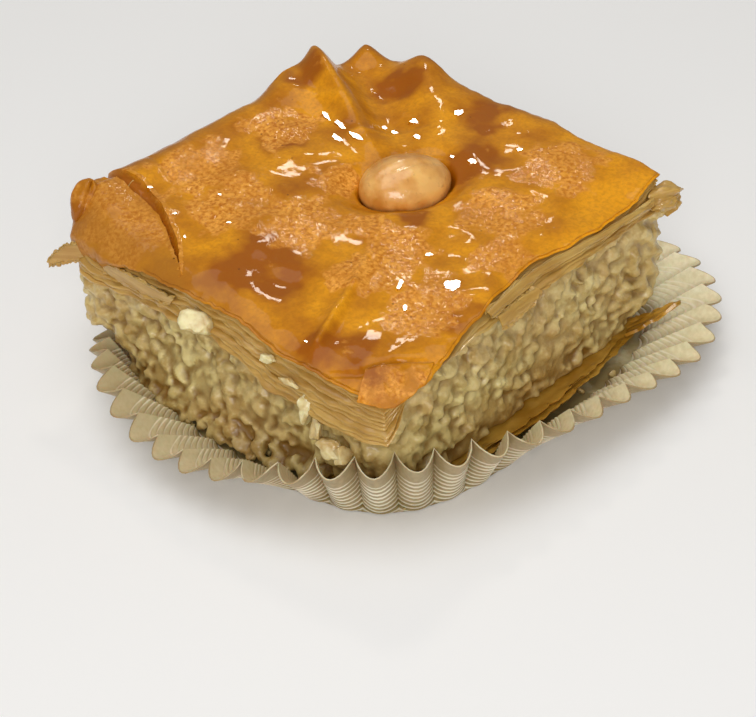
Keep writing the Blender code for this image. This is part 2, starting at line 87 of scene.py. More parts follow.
def soft_lamp(name, place, size, power, colour):
    """A rectangle of light, with its size in metres and its power in watts."""
    bpy.ops.object.light_add(type="AREA", location=place)
    lamp = bpy.context.object
    lamp.name = name
    lamp.data.shape = "RECTANGLE"
    lamp.data.size, lamp.data.size_y = size
    lamp.data.energy = power
    lamp.data.color = colour
    lamp.rotation_euler = (LAMPS_AIM_AT - Vector(place)).to_track_quat("-Z", "Y").to_euler()


soft_lamp("lamp_behind", LAMP_BEHIND, (0.065, 0.045), 0.25, (1.0, 0.93, 0.80))
soft_lamp("window_over", (-0.06, -0.06, 0.80), (0.8, 0.8), 3.5, (1.0, 0.99, 0.97))
soft_lamp("fill_by_camera", (0.42, -0.44, 0.34), (0.40, 0.30), 2.3, (1.0, 0.98, 0.96))

room = bpy.data.worlds.new("pale_room")
room.use_nodes = True
room.node_tree.nodes["Background"].inputs["Color"].default_value = (1.0, 0.99, 0.97, 1.0)
room.node_tree.nodes["Background"].inputs["Strength"].default_value = 0.21
bpy.context.scene.world = room
bpy.context.scene.view_settings.view_transform = "Standard"

bpy.ops.mesh.primitive_plane_add(size=4.0, location=(0.0, 0.0, 0.0))
floor = bpy.context.object
floor.name = "floor"
print("camera, three lamps and a floor are in place")

# %% [markdown]
# ## Materials made from nodes
#
# Every finish here is a Principled shader with a few noise patterns mixed into its colour,
# roughness and bump. They all read Object coordinates, in metres, so a pattern keeps its real
# size. Small helper functions add and link the nodes, which keeps each recipe short.

# %% Node helpers


def srgb(red, green, blue):
    """A colour given as 0 to 255, turned into the linear values that shaders use."""
    def linear(part):
        return part / 255 / 12.92 if part <= 10 else ((part / 255 + 0.055) / 1.055) ** 2.4

    return tuple(linear(part) for part in (red, green, blue))


class Recipe:
    """A material under construction: node() adds a node, and the rest are common steps."""

    def __init__(self, name, roughness, **constants):
        self.material = bpy.data.materials.new(name)
        self.material.use_nodes = True
        self.tree = self.material.node_tree
        self.shader = self.tree.nodes["Principled BSDF"]
        self.shader.inputs["Roughness"].default_value = roughness
        for socket, value in constants.items():
            self.shader.inputs[socket.replace("_", " ")].default_value = value
        self.place = self.node("ShaderNodeTexCoord").outputs["Object"]

    def node(self, kind, links=None, **settings):
        made = self.tree.nodes.new(kind)
        for name, value in settings.items():
            setattr(made, name, value)
        for socket, source in (links or {}).items():
            if isinstance(source, bpy.types.NodeSocket):
                self.tree.links.new(source, made.inputs[socket])
            else:
                made.inputs[socket].default_value = source
        return made

    def stretched(self, scale):
        return self.node("ShaderNodeMapping", {"Vector": self.place, "Scale": scale}).outputs[0]

    def noise(self, size, detail=3.0, place=None, distortion=0.0):
        """Cloudy pattern whose patches are about this many metres across."""
        links = {"Vector": place or self.place, "Scale": 1 / size, "Detail": detail,
                 "Distortion": distortion}
        return self.node("ShaderNodeTexNoise", links).outputs["Fac"]

    def cells(self, size):
        """Distance to the nearest of many scattered points, about this many metres apart."""
        links = {"Vector": self.place, "Scale": 1 / size}
        return self.node("ShaderNodeTexVoronoi", links).outputs["Distance"]

    def attribute(self, name):
        return self.node("ShaderNodeAttribute", attribute_name=name).outputs["Fac"]

    def range(self, value, low, high, to_low=0.0, to_high=1.0):
        links = {"Value": value, "From Min": low, "From Max": high, "To Min": to_low, "To Max": to_high}
        return self.node("ShaderNodeMapRange", links).outputs["Result"]

    def sum(self, a, b, kind="ADD"):
        return self.node("ShaderNodeMath", {0: a, 1: b}, operation=kind).outputs[0]

    def blend(self, share, low, high):
        mixed = self.node("ShaderNodeMix", data_type="RGBA")
        for socket, source in ((0, share), (6, low), (7, high)):
            if isinstance(source, bpy.types.NodeSocket):
                self.tree.links.new(source, mixed.inputs[socket])
            else:
                mixed.inputs[socket].default_value = (*source, 1.0) if socket else source
        return mixed.outputs[2]

    def bump(self, height, depth, strength=1.0, under=None):
        links = {"Height": height, "Distance": depth, "Strength": strength}
        if under:
            links["Normal"] = under
        return self.node("ShaderNodeBump", links).outputs["Normal"]

    def finish(self, colour=None, roughness=None, normal=None, coat_normal=None):
        targets = {"Base Color": colour, "Roughness": roughness, "Normal": normal,
                   "Coat Normal": coat_normal}
        for socket, source in targets.items():
            if source:
                self.tree.links.new(source, self.shader.inputs[socket])
        return self.material


# %% Floor finish


def pale_floor():
    recipe = Recipe("pale_floor", 0.8)
    colour = recipe.blend(recipe.noise(0.2), (0.93, 0.93, 0.93), (0.95, 0.95, 0.95))
    return recipe.finish(colour=colour)


floor.data.materials.append(pale_floor())

# %% [markdown]
# ## Shared forms
#
# The dressed pieces follow the same named forms as the plain solids: a tilted top with pleats
# and dips, a crescent crack, a skin that reaches out over the stack, and a filling whose top
# turns down towards the front. Writing them as functions lets the skin, the layers under it and
# the filling agree with each other everywhere.

# %% Sizes of the pastry
HALF_SIDE = 0.0315
TOP_LEVEL = 0.0266
TILT_X, TILT_Y, TWIST, DOME = -0.0847, 0.052, 0.00085, 0.0007
NUT_CENTRE = Vector((0.0004, 0.0067, 0.0258))
NUT_HALF = Vector((0.0073, 0.0057, 0.0047))
NUT_TURN = math.radians(66)
# Each pleat or dip runs from one x and y to another. Then come its half width, and its height or
# depth at either end.
PLEATS = (
    ((-0.0345, 0.0216), (-0.0070, 0.0090), 0.0027, 0.0050, 0.0004),
    ((-0.0345, 0.0155), (-0.0220, 0.0115), 0.0046, 0.0036, 0.0003),
    ((-0.0190, 0.0330), (-0.0070, 0.0200), 0.0046, 0.0030, 0.0003),
    ((-0.0325, 0.0325), (-0.0220, 0.0230), 0.0028, 0.0026, 0.0000),
    ((-0.0385, -0.0240), (-0.0300, -0.0270), 0.0034, 0.0030, 0.0008),
    ((-0.0360, -0.0205), (-0.0350, 0.0120), 0.0070, 0.0024, 0.0020),
    ((-0.0080, 0.0340), (0.0300, 0.0340), 0.0060, 0.0007, 0.0007),
    ((0.0078, -0.0068), (0.0172, -0.0290), 0.0014, 0.0000, 0.0007),
)
DIPS = (
    ((-0.0170, 0.0235), (-0.0120, 0.0180), 0.0042, 0.0016, 0.0012),
    ((-0.0300, 0.0140), (-0.0200, 0.0090), 0.0034, 0.0012, 0.0004),
    ((-0.0270, 0.0265), (-0.0150, 0.0170), 0.0030, 0.0016, 0.0008),
    ((-0.0050, 0.0110), (-0.0010, 0.0080), 0.0085, 0.0014, 0.0014),
)
# Round the top's edge, each side has (place along it from -1 to 1, metres) from end to end: how far
# the skin hangs down over the side, and how far it reaches out past it or, below 0, falls short.
HEM = {
    "-Y": ((-1.0, 0.0060), (-0.86, 0.0038), (-0.70, 0.0014), (-0.45, 0.0005), (0.8, 0.0004), (1.0, 0.0005)),
    "+X": ((-1.0, 0.0005), (1.0, 0.0004)),
    "+Y": ((-1.0, 0.0010), (-0.3, 0.0016), (0.4, 0.0022), (1.0, 0.0030)),
    "-X": ((-1.0, 0.0030), (-0.5, 0.0018), (0.2, 0.0014), (0.6, 0.0038), (1.0, 0.0060)),
}
OVERHANG = {
    "-Y": ((-1.0, 0.0022), (-0.85, 0.0012), (-0.6, 0.0005), (1.0, 0.0003)),
    "+X": ((-1.0, 0.0014), (-0.80, 0.0009), (-0.62, -0.0003), (-0.36, -0.0016), (-0.18, -0.0026),
           (0.06, -0.0036), (0.30, -0.0020), (0.50, -0.0014), (0.78, -0.0010), (1.0, -0.0008)),
    "+Y": ((-1.0, 0.0006), (0.0, 0.0009), (0.6, 0.0012), (1.0, 0.0006)),
    "-X": ((-1.0, 0.0010), (-0.6, 0.0020), (0.0, 0.0023), (0.40, 0.0034), (0.60, 0.0060),
           (0.82, 0.0074), (1.0, 0.0042)),
}
EDGE_ROUND = {"-Y": 0.0007, "+X": 0.0003, "+Y": 0.0003, "-X": 0.0006}
EDGE_ROUND_WIDTH = 0.0035
CORNER_ROUND = 0.0011
RING_DIP = 0.0011
SIDE_AXIS = {"-Y": (0, -1), "+X": (1, 0), "+Y": (0, 1), "-X": (-1, 0)}

# %% Curves and outlines


def between(low, high, share):
    return low + (high - low) * share


def smooth(value):
    value = min(1.0, max(0.0, value))
    return value * value * (3 - 2 * value)


def bell(value, middle, width):
    """1 in the middle, and less on both sides of it."""
    return math.exp(-(((value - middle) / width) ** 2))


def curve_through(points, place):
    for (a, low), (b, high) in zip(points, points[1:]):
        if place <= b:
            return between(low, high, smooth((place - a) / (b - a)))
    return points[-1][1]


def on_smooth_curve(before, low, high, after, t):
    """From low to high as t goes from 0 to 1, heading on from before and towards after."""
    bend = 2 * before - 5 * low + 4 * high - after + t * (3 * (low - high) + after - before)
    return low + 0.5 * t * (high - before + t * bend)


def round_curve(values, angle):
    """A smooth value at an angle, through values spaced evenly round a turn."""
    count = len(values)
    place = (angle / math.tau) % 1.0 * count
    i = int(place)
    return on_smooth_curve(*(values[(i + k) % count] for k in (-1, 0, 1, 2)), place - i)


def around(angle, reach, level):
    """The point at an angle, a reach from the middle and a level above the floor."""
    return Vector((math.cos(angle) * reach, math.sin(angle) * reach, level))


def superellipse(half, power, angle):
    return half / (abs(math.cos(angle)) ** power + abs(math.sin(angle)) ** power) ** (1 / power)


def evenly_round(reach, count, steps=1440):
    """Angles of points spaced evenly along a closed outline."""
    turn = np.linspace(0, math.tau, steps + 1)
    points = np.array([[math.cos(a) * reach(a), math.sin(a) * reach(a)] for a in turn])
    lengths = np.concatenate([[0], np.cumsum(np.linalg.norm(np.diff(points, axis=0), axis=1))])
    return np.interp(lengths[-1] * np.arange(count) / count, lengths, turn)


def cloud(x, y, z, size):
    return noise.noise(Vector((x, y, z)) / size)


# %% The top's form
CRACK_FROM, CRACK_START, CRACK_BEND = 0.033, -0.0205, 15.5
CRACK_END, CRACK_CLOSES_OVER = 0.0262, 0.010
CRACK_LIP = 0.0008


def ridge(x, y, start, end, width, first, last):
    """Height of a long hill that runs from start to end."""
    line_x, line_y = end[0] - start[0], end[1] - start[1]
    share = ((x - start[0]) * line_x + (y - start[1]) * line_y) / (line_x ** 2 + line_y ** 2)
    share = min(1.0, max(0.0, share))
    away = math.hypot(x - start[0] - line_x * share, y - start[1] - line_y * share)
    return between(first, last, share) * bell(away, 0.0, width)


def crack_line(s):
    """The crack's y at a distance s to the right of its start."""
    return CRACK_START - CRACK_BEND * s * s


def crack_place(x, y):
    """How far a point lies past the crack, how open the crack is there, and the way across it."""
    s = max(0.0, x + CRACK_FROM)
    slope = 2 * CRACK_BEND * s
    length = math.hypot(1.0, slope)
    opened = smooth((CRACK_END - s) / CRACK_CLOSES_OVER)
    return (crack_line(s) - y) / length, opened, (-slope / length, -1.0 / length)


def nut_distance(x, y):
    """1 on the nut's outline seen from above, and more outside it."""
    dx, dy = x - NUT_CENTRE.x, y - NUT_CENTRE.y
    along = dx * math.cos(NUT_TURN) + dy * math.sin(NUT_TURN)
    across = dy * math.cos(NUT_TURN) - dx * math.sin(NUT_TURN)
    return math.hypot(along / NUT_HALF.x, across / NUT_HALF.y)


def side_place(side, x, y):
    """How far out towards a side a point lies, and how far along that side."""
    return {"-Y": (-y, x), "+X": (x, y), "+Y": (y, -x), "-X": (-x, -y)}[side]


def nearest_side(x, y):
    return max(HEM, key=lambda side: side_place(side, x, y)[0])


def plain_height(x, y):
    """The top without its crack and its fine wrinkles."""
    u, v = x / HALF_SIDE, y / HALF_SIDE
    z = TOP_LEVEL + TILT_X * x + TILT_Y * y + TWIST * u * v
    z += DOME * (1 - max(abs(u), abs(v)) ** 4)
    z += sum(ridge(x, y, *pleat) for pleat in PLEATS)
    z -= sum(ridge(x, y, *dip) for dip in DIPS)
    turn_from_nut = math.atan2(y - NUT_CENTRE.y, x - NUT_CENTRE.x)
    toward_front = 1 + 0.55 * math.cos(turn_from_nut + math.radians(43))
    z -= RING_DIP * toward_front * bell(nut_distance(x, y), 1.1, 0.35)
    z += 0.0007 * cloud(x, y, 0.0, 0.011) + 0.0003 * cloud(x, y, 0.1, 0.005)
    for side, depth in EDGE_ROUND.items():
        inside = HALF_SIDE - side_place(side, x, y)[0]
        z -= depth * max(0.0, 1 - inside / EDGE_ROUND_WIDTH) ** 2
    return z


def stack_outline(x, y):
    """Moves a point of the square to the stack's uneven outline."""
    u, v = x / HALF_SIDE, y / HALF_SIDE
    corner = CORNER_ROUND * (u * u * v * v) ** 3
    wave = 1 + 0.012 * cloud(x, y, 0.4, 0.009) * max(abs(u), abs(v)) ** 8
    return x * wave - math.copysign(corner, u), y * wave - math.copysign(corner, v)


def overhang(x, y):
    """How far the skin is pushed out over the stack near its edges, or falls short of it."""
    dx, dy = 0.0, 0.0
    for side, line in OVERHANG.items():
        out, place = side_place(side, x, y)
        reach = curve_through(line, max(-1.0, min(1.0, place / HALF_SIDE)))
        reach *= max(0.0, out / HALF_SIDE) ** (8 if reach > 0 else 5)
        dx += SIDE_AXIS[side][0] * reach
        dy += SIDE_AXIS[side][1] * reach
    return dx, dy


def outward(x, y):
    """The way out of the nearest side, turning at the corners."""
    away = Vector((x, y)).normalized() * 0.25
    away.x += math.copysign(abs(x / HALF_SIDE) ** 12, x)
    away.y += math.copysign(abs(y / HALF_SIDE) ** 12, y)
    return away


def shoulder(x, y):
    """How far inside the right cut side the skin ends, where the layers below slope out from it."""
    return max(0.0, -overhang(x, y)[0]) if nearest_side(x, y) == "+X" else 0.0


SEAM_LEVEL, SEAM_DROP, SEAM_BEND_AT, SEAM_BEND = 0.0210, 0.0065, -0.012, 0.020


def seam_height(x, y):
    """Where filling and layers meet: low along the front, and lowest at the front corner."""
    past = max(0.0, (SEAM_BEND_AT - y) / SEAM_BEND)
    right = smooth((x + y) / 0.006)
    less = between(0.48, 1.0, smooth((x + 0.002) / 0.016)) * (1 - 0.65 * right)
    return SEAM_LEVEL - SEAM_DROP * past ** 1.7 * less + 0.0010 * right * smooth((x - 0.02) / 0.01)


print("top at the four corners, mm:",
      [round(plain_height(x, y) / MM, 1) for x in (-0.031, 0.031) for y in (-0.031, 0.031)])

# %% [markdown]
# ## Working by hand, in code
#
# Each piece starts from a grid, as a sheet of pastry or paper does. The grid is laid flat or
# rolled up, and its points are set by a function of where they are on the sheet. The helpers
# below add the grid, close it with edit mode tools, and apply the modifiers.

# %% Modelling helpers


def deselect_all():
    bpy.ops.object.select_all(action="DESELECT")


def select_alone(obj):
    deselect_all()
    bpy.context.view_layer.objects.active = obj
    obj.select_set(True)


def laid_grid(name, cells_across, place):
    """A square sheet whose points go where place(u, v) says, with u and v from -1 to 1."""
    deselect_all()
    bpy.ops.mesh.primitive_grid_add(x_subdivisions=cells_across, y_subdivisions=cells_across, size=2)
    sheet = bpy.context.object
    sheet.name = name
    for vert in sheet.data.vertices:
        vert.co = place(vert.co.x, vert.co.y)
    return sheet


def rolled_grid(name, columns, rows, place, close_ends=True):
    """A sheet rolled into a sleeve. place(column, row) gives each point, and columns go once round."""
    deselect_all()
    bpy.ops.mesh.primitive_grid_add(x_subdivisions=columns, y_subdivisions=rows, size=2)
    sleeve = bpy.context.object
    sleeve.name = name
    for vert in sleeve.data.vertices:
        column = round((vert.co.x + 1) / 2 * columns) % columns
        row = round((vert.co.y + 1) / 2 * rows)
        vert.co = place(column, row)
    bpy.ops.object.mode_set(mode="EDIT")
    bpy.ops.mesh.select_all(action="SELECT")
    bpy.ops.mesh.remove_doubles(threshold=1e-7)
    if close_ends:
        bpy.ops.mesh.select_all(action="DESELECT")
        bpy.ops.mesh.select_mode(type="EDGE")
        bpy.ops.mesh.select_non_manifold(extend=False)
        bpy.ops.mesh.fill_holes(sides=0)
    bpy.ops.mesh.select_all(action="SELECT")
    bpy.ops.mesh.normals_make_consistent(inside=False)
    bpy.ops.object.mode_set(mode="OBJECT")
    return sleeve


def use_modifier(obj, kind, **settings):
    select_alone(obj)
    modifier = obj.modifiers.new(kind.title(), kind)
    for key, value in settings.items():
        setattr(modifier, key, value)
    bpy.ops.object.modifier_apply(modifier=modifier.name)


def shade(obj, degrees=50):
    select_alone(obj)
    bpy.ops.object.shade_smooth_by_angle(angle=math.radians(degrees))


def thicken(sheet, thickness, degrees=50, offset=0.0):
    use_modifier(sheet, "SOLIDIFY", thickness=thickness, offset=offset)
    shade(sheet, degrees)


def paint(obj, name, values):
    """Stores one number for each point, for a material to read."""
    layer = obj.data.attributes.new(name, "FLOAT", "POINT")
    layer.data.foreach_set("value", np.asarray(values, dtype=np.float32))


def tint(piece, **values):
    """Stores the same numbers for all points of a piece."""
    for name, value in values.items():
        paint(piece, name, [value] * len(piece.data.vertices))


def finish_piece(obj, material, slot, *nodes):
    obj.data.materials.clear()
    obj.data.materials.append(material)
    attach(obj, "root")
    if nodes:
        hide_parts(*nodes)
    print(obj.name, len(obj.data.polygons), "faces")


# %% [markdown]
# ## The paper case
#
# The case is a disc of waxed paper pressed into flutes: each flute is round outside and meets
# the next in a sharp crease, and the press leaves fine ribs across them. A rolled sheet with a
# formula for the flutes gives the creases their true depth, and Solidify gives the paper its
# thickness. The square pastry has pushed the round rim out at its corners.

# %% Sizes of the case
PAPER = 0.0004
PAPER_DRAWN = 0.00022
BASE_HALF, BASE_SQUARENESS = 0.0345, 3.8
WALL_SLANT = 0.0128
RIM_REACH = (0.0434, 0.0517, 0.0444, 0.0486, 0.0430, 0.0442, 0.0452, 0.0446)
CRUSHED_AT, CRUSHED_WITHIN, CRUSHED_SHARE = math.radians(219), math.radians(19), 0.45
FLUTES, FLUTE_COLUMNS, FLUTE_DEPTH = 52, 10, 0.0028
WALL_ROWS = 84
DEEPER_AT, DEEPER_WITHIN = math.radians(312), 0.7
RIB_PITCH, RIB_HEIGHT, RIBBED_TO = 0.00112, 0.00010, 0.0100

# %% Rolling up the paper


def base_reach(angle):
    return superellipse(BASE_HALF, BASE_SQUARENESS, angle)


def rim_reach(angle):
    return round_curve(RIM_REACH, angle)


def wall_out(angle):
    """How far the rim stands out past the base."""
    return rim_reach(angle) - base_reach(angle)


def wall_reach(angle, share):
    """The middle of the wall, with share from 0 at the base to 1 at the rim."""
    return base_reach(angle) + wall_out(angle) * share ** 1.15


def wall_rise(angle):
    """Height of the rim: the paper is equally long everywhere, but crushed under one corner."""
    rise = math.sqrt(WALL_SLANT ** 2 - wall_out(angle) ** 2)
    return rise * (1 - (1 - CRUSHED_SHARE) * bell(angle % math.tau, CRUSHED_AT, CRUSHED_WITHIN))


case_angles = evenly_round(rim_reach, FLUTES * FLUTE_COLUMNS)


def case_point(column, row):
    number, turn = divmod(column, FLUTE_COLUMNS)
    arch = math.sin(math.pi * turn / FLUTE_COLUMNS)
    angle = case_angles[column] + 0.012 * cloud(number * 0.8, 7.0, 0.0, 1.0) * arch
    share = row / WALL_ROWS
    crest = abs(arch) ** 0.8
    deeper = 0.35 * bell(angle, DEEPER_AT, DEEPER_WITHIN)
    depth = FLUTE_DEPTH * (1 + 0.25 * cloud(number * 1.7, 0.5, 0.0, 1.0) + deeper)
    slant = share * WALL_SLANT
    rib = RIB_HEIGHT * smooth((RIBBED_TO - slant) / 0.0010) * smooth(slant / 0.0006)
    rib *= math.sin(math.tau * slant / RIB_PITCH)
    reach = wall_reach(angle, share) + (crest - 0.5) * depth * share ** 0.36 + rib - PAPER / 2
    uneven = share ** 2 * (0.0009 * (0.5 - crest) + 0.0005 * cloud(number * 0.9, 3.0, 0.0, 1.0))
    level = PAPER / 2 + (wall_rise(angle) - PAPER) * share + uneven
    return around(angle, reach, level)


def close_base(case):
    """Selects the lowest ring of edges and fills it, as the flat disc under the pastry."""
    bpy.ops.object.mode_set(mode="EDIT")
    bpy.ops.mesh.select_all(action="DESELECT")
    bpy.ops.object.mode_set(mode="OBJECT")
    for edge in case.data.edges:
        edge.select = all(case.data.vertices[i].co.z < PAPER / 2 + 1e-6 for i in edge.vertices)
    bpy.ops.object.mode_set(mode="EDIT")
    bpy.ops.mesh.select_mode(type="EDGE")
    bpy.ops.mesh.edge_face_add()
    bpy.ops.mesh.select_all(action="SELECT")
    bpy.ops.mesh.normals_make_consistent(inside=False)
    bpy.ops.object.mode_set(mode="OBJECT")


def paint_case(case):
    """slant is the distance up the paper, for the painted highlights along the ribs."""
    slants = []
    for vert in case.data.vertices:
        share = (vert.co.z - PAPER / 2) / (wall_rise(math.atan2(vert.co.y, vert.co.x)) - PAPER)
        slants.append(max(0.0, share) * WALL_SLANT)
    paint(case, "slant", slants)


def make_paper_case():
    case = rolled_grid("paper_cup", FLUTES * FLUTE_COLUMNS, WALL_ROWS, case_point, close_ends=False)
    close_base(case)
    paint_case(case)
    use_modifier(case, "SOLIDIFY", thickness=PAPER_DRAWN, offset=0.0)
    outside = [vert.normal.x * vert.co.x + vert.normal.y * vert.co.y > 0 for vert in case.data.vertices]
    paint(case, "outside", outside)
    shade(case, 60)
    return case


paper_cup = make_paper_case()

# %% Paper finish


def waxed_paper():
    """Grey-green paper, browner where syrup has soaked in from below, with painted highlights along the
    ribs and painted shade.
    """
    recipe = Recipe("waxed_paper", 0.40, Coat_Weight=0.25, Coat_Roughness=0.2,
                    Subsurface_Weight=0.2, Subsurface_Scale=0.001)
    slant = recipe.attribute("slant")
    outside = recipe.attribute("outside")
    fibres = recipe.noise(0.0007, 6.0)
    blotches = recipe.noise(0.008, 4.0)
    inner = recipe.blend(recipe.range(fibres, 0.3, 0.7), srgb(214, 202, 160), srgb(232, 222, 186))
    # The outside is drawn darker: partly the syrup soaked into it, partly painted shade.
    outer = recipe.blend(recipe.range(fibres, 0.3, 0.7), srgb(150, 132, 90), srgb(170, 150, 108))
    # Painted shade: the inside is drawn darker and greyer towards -X, where less light falls.
    across = recipe.node("ShaderNodeSeparateXYZ", {"Vector": recipe.place}).outputs["X"]
    inner = recipe.blend(recipe.range(across, 0.025, -0.020, 0.0, 0.7), inner, srgb(176, 164, 122))
    dry = recipe.blend(outside, inner, outer)
    from_below = recipe.range(slant, 0.0004, 0.0060, 0.50, -0.30)
    soaked = recipe.sum(from_below, recipe.range(blotches, 0.35, 0.65, 0.0, 0.5))
    colour = recipe.blend(recipe.range(soaked, 0.35, 0.70, 0.0, 0.85), dry, srgb(132, 112, 62))
    # Painted highlight: pale lines along the ribs, where they catch the light, fainter in places.
    turns = recipe.sum(slant, math.tau / RIB_PITCH, "MULTIPLY")
    lines = recipe.range(recipe.sum(turns, 0.0, "SINE"), 0.35, 0.95)
    rib_highlight = recipe.sum(lines, recipe.range(slant, RIBBED_TO, RIBBED_TO - 0.0008), "MULTIPLY")
    faint_rib_highlight = recipe.sum(rib_highlight, recipe.range(blotches, 0.30, 0.60, 1.0, 0.6), "MULTIPLY")
    colour = recipe.blend(faint_rib_highlight, colour, srgb(240, 230, 206))
    rough = recipe.range(soaked, 0.3, 0.7, 0.46, 0.22)
    return recipe.finish(colour=colour, roughness=rough, normal=recipe.bump(fibres, 0.00005, 0.5))


finish_piece(paper_cup, waxed_paper(), "greaseproof_paper", "paper_case")

# %% [markdown]
# ## The bottom sheets
#
# A few sheets of phyllo under the filling have browned and soaked in syrup. They stick out past
# the filling on the right, curl up on the paper, and end in a torn strip at the far corner. Two
# thin ragged sheets, one a little smaller than the other, show as separate layers at the edge.

# %% Laying the bottom sheets
FILLING_LEVEL = 0.0022
SHEET_HALF, SHEET_SQUARENESS = 0.0300, 7.0
SHEET_COLUMNS, SHEET_ROWS = 480, 14


def sheet_reach(angle):
    return superellipse(SHEET_HALF, SHEET_SQUARENESS, angle)


def bottom_sheet(name, level, reach_less, seed):
    """A thin ragged sheet that curls up where it sticks out on the right."""
    angles = evenly_round(sheet_reach, SHEET_COLUMNS)

    def place(column, row):
        angle, share = angles[column], row / SHEET_ROWS
        curl = max(0.0, math.cos(angle)) ** 6
        tucked = 0.0016 * smooth(0.5 - math.cos(angle))
        x, y = math.cos(angle), math.sin(angle)
        ragged = 0.0007 * cloud(x, y, seed, 0.11) + 0.0004 * cloud(x, y, seed, 0.03)
        reach = sheet_reach(angle) + 0.0004 + 0.0036 * curl + ragged - reach_less - tucked
        reach *= between(0.80, 1.0, share)
        lift = 0.0021 * curl * share ** 5 + 0.00012 * cloud(x * reach, y * reach, seed, 0.003)
        return Vector((x * reach, y * reach, level + lift))

    sheet = rolled_grid(name, SHEET_COLUMNS, SHEET_ROWS, place)
    thicken(sheet, 0.0004)
    return sheet


SLIVER_START, SLIVER_TIP = Vector((0.0290, 0.0240, 0.0016)), Vector((0.0354, 0.0294, 0.0066))


def torn_strip(u, v):
    """A strip that narrows to a point at the far corner, with its middle hanging a little."""
    along = SLIVER_TIP - SLIVER_START
    across = Vector((-along.y, along.x, 0.0)).normalized()
    share = (u + 1) / 2
    width = 0.0019 * (1 - 0.94 * share ** 1.5) * (1 + 0.3 * cloud(share, 0.0, v, 0.2))
    sag = 0.0003 * math.sin(share * math.pi)
    lift = Vector((0, 0, 0.0004 * abs(v) + 0.0003 * cloud(u, v, 0.0, 0.4) - sag))
    return SLIVER_START + along * share + across * (v * width) + lift


bottom_sheets = [bottom_sheet("bottom_sheet_low", 0.0011, 0.0, 2.0),
                 bottom_sheet("bottom_sheet_high", 0.00165, 0.0006, 5.0)]
strip = laid_grid("bottom_sheet_strip", 24, torn_strip)
thicken(strip, 0.0005)
bottom_sheets.append(strip)

# %% Browned phyllo finish


def browned_phyllo():
    recipe = Recipe("soaked_browned_phyllo", 0.3, Coat_Weight=0.5, Coat_Roughness=0.12,
                    Subsurface_Weight=0.2, Subsurface_Scale=0.001, Subsurface_Radius=(1.0, 0.6, 0.15))
    toasted = recipe.noise(0.006, 4.0)
    fine = recipe.noise(0.0006, 5.0)
    colour = recipe.blend(recipe.range(toasted, 0.35, 0.68), srgb(168, 118, 30), srgb(214, 166, 70))
    return recipe.finish(colour=colour, normal=recipe.bump(fine, 0.00006, 0.5))


browned = browned_phyllo()
for piece in bottom_sheets:
    finish_piece(piece, browned, "browned_phyllo", "bottom_phyllo")

# %% [markdown]
# ## The nut filling
#
# The filling is finely chopped nuts stuck together with syrup: rounded lumps of 2 to 5 mm that
# run into each other, with wet hollows between them, which the finish darkens as painted shade.
# Separate grains would look dry and loose. So chopped nuts are modelled once in a few shapes,
# copied over a rough core, and the whole is remeshed into one skin, which fuses them as syrup does.

# %% Sizes of the filling
CORE_HALF, CORE_SQUARENESS = 0.0302, 16.0
CORNER_BULGES, CORNER_WIDTH = ((math.radians(225), 0.0050), (math.radians(45), 0.0024)), math.radians(8)
FOOT_BULGE, FOOT_AT, FOOT_WITHIN, FOOT_TOP = 0.0046, math.radians(250), 0.60, 0.013
WALL_ROOM = 0.0009
GRAIN_KINDS, KNIFE_CUTS, CUT_PLACES = 9, 10, (0.40, 0.75)
REMESH = 0.00036


def room_inside(angle, level):
    """How far out the case leaves room at a level below its rim."""
    share = min(1.0, level / wall_rise(angle))
    return wall_reach(angle, share) - FLUTE_DEPTH / 2 * share ** 0.5 - PAPER - WALL_ROOM


def core_reach(angle, level):
    """The filling's side: square with bulging corners high up, and pressed in by the paper low down."""
    turn = angle % math.tau
    high = smooth((level - 0.003) / 0.006)
    free = superellipse(CORE_HALF, between(SHEET_SQUARENESS, CORE_SQUARENESS, high), angle)
    free += FOOT_BULGE * bell(turn, FOOT_AT, FOOT_WITHIN) * (1 - smooth(level / FOOT_TOP))
    free += high * sum(bulge * bell(turn, corner, CORNER_WIDTH) for corner, bulge in CORNER_BULGES)
    x, y = math.cos(angle) * CORE_HALF, math.sin(angle) * CORE_HALF
    stretch = HALF_SIDE / max(abs(x), abs(y))
    free -= 0.5 * smooth((level - 0.016) / 0.006) * shoulder(x * stretch, y * stretch)
    held = room_inside(angle, level)
    over_rim = smooth((level - wall_rise(angle) - 0.0008) / 0.0026)
    return free if free < held else between(held, free, over_rim)


# %% One chopped nut, in several shapes


def chopped_nut(seed, detail=2):
    """A ball cut by a few flat faces, as a knife leaves it, then slightly rounded."""
    draw = random.Random(seed)
    deselect_all()
    bpy.ops.mesh.primitive_ico_sphere_add(subdivisions=detail, radius=1.0)
    nut = bpy.context.object
    points = np.array([vert.co for vert in nut.data.vertices])
    for _ in range(KNIFE_CUTS):
        normal = np.array([draw.gauss(0, 1) for _ in range(3)])
        normal /= np.linalg.norm(normal)
        over = np.maximum(points @ normal - draw.uniform(*CUT_PLACES), 0)
        points -= np.outer(over, normal) * 0.95
    points *= np.array([draw.uniform(0.75, 1.3) for _ in range(3)])
    faces = np.array([list(face.vertices) for face in nut.data.polygons])
    bpy.data.objects.remove(nut)
    return points, faces


def scatter(name, kinds, places):
    """Copies of the given shapes, joined into one mesh. places is (centre, size, spin) for each."""
    vertices, faces, first = [], [], 0
    for number, (centre, size, spin) in enumerate(places):
        points, triangles = kinds[number % len(kinds)]
        turned = points @ np.array(spin.to_matrix()).T * size + np.array(centre)
        vertices.append(turned)
        faces.append(triangles + first)
        first += len(points)
    mesh = bpy.data.meshes.new(name)
    mesh.from_pydata(np.concatenate(vertices).tolist(), [], np.concatenate(faces).tolist())
    obj = bpy.data.objects.new(name, mesh)
    bpy.context.collection.objects.link(obj)
    return obj


def random_spin(draw):
    return Vector([draw.gauss(0, 1) for _ in range(3)]).to_track_quat("Z", "Y")


chopped_kinds = [chopped_nut(seed) for seed in range(GRAIN_KINDS)]

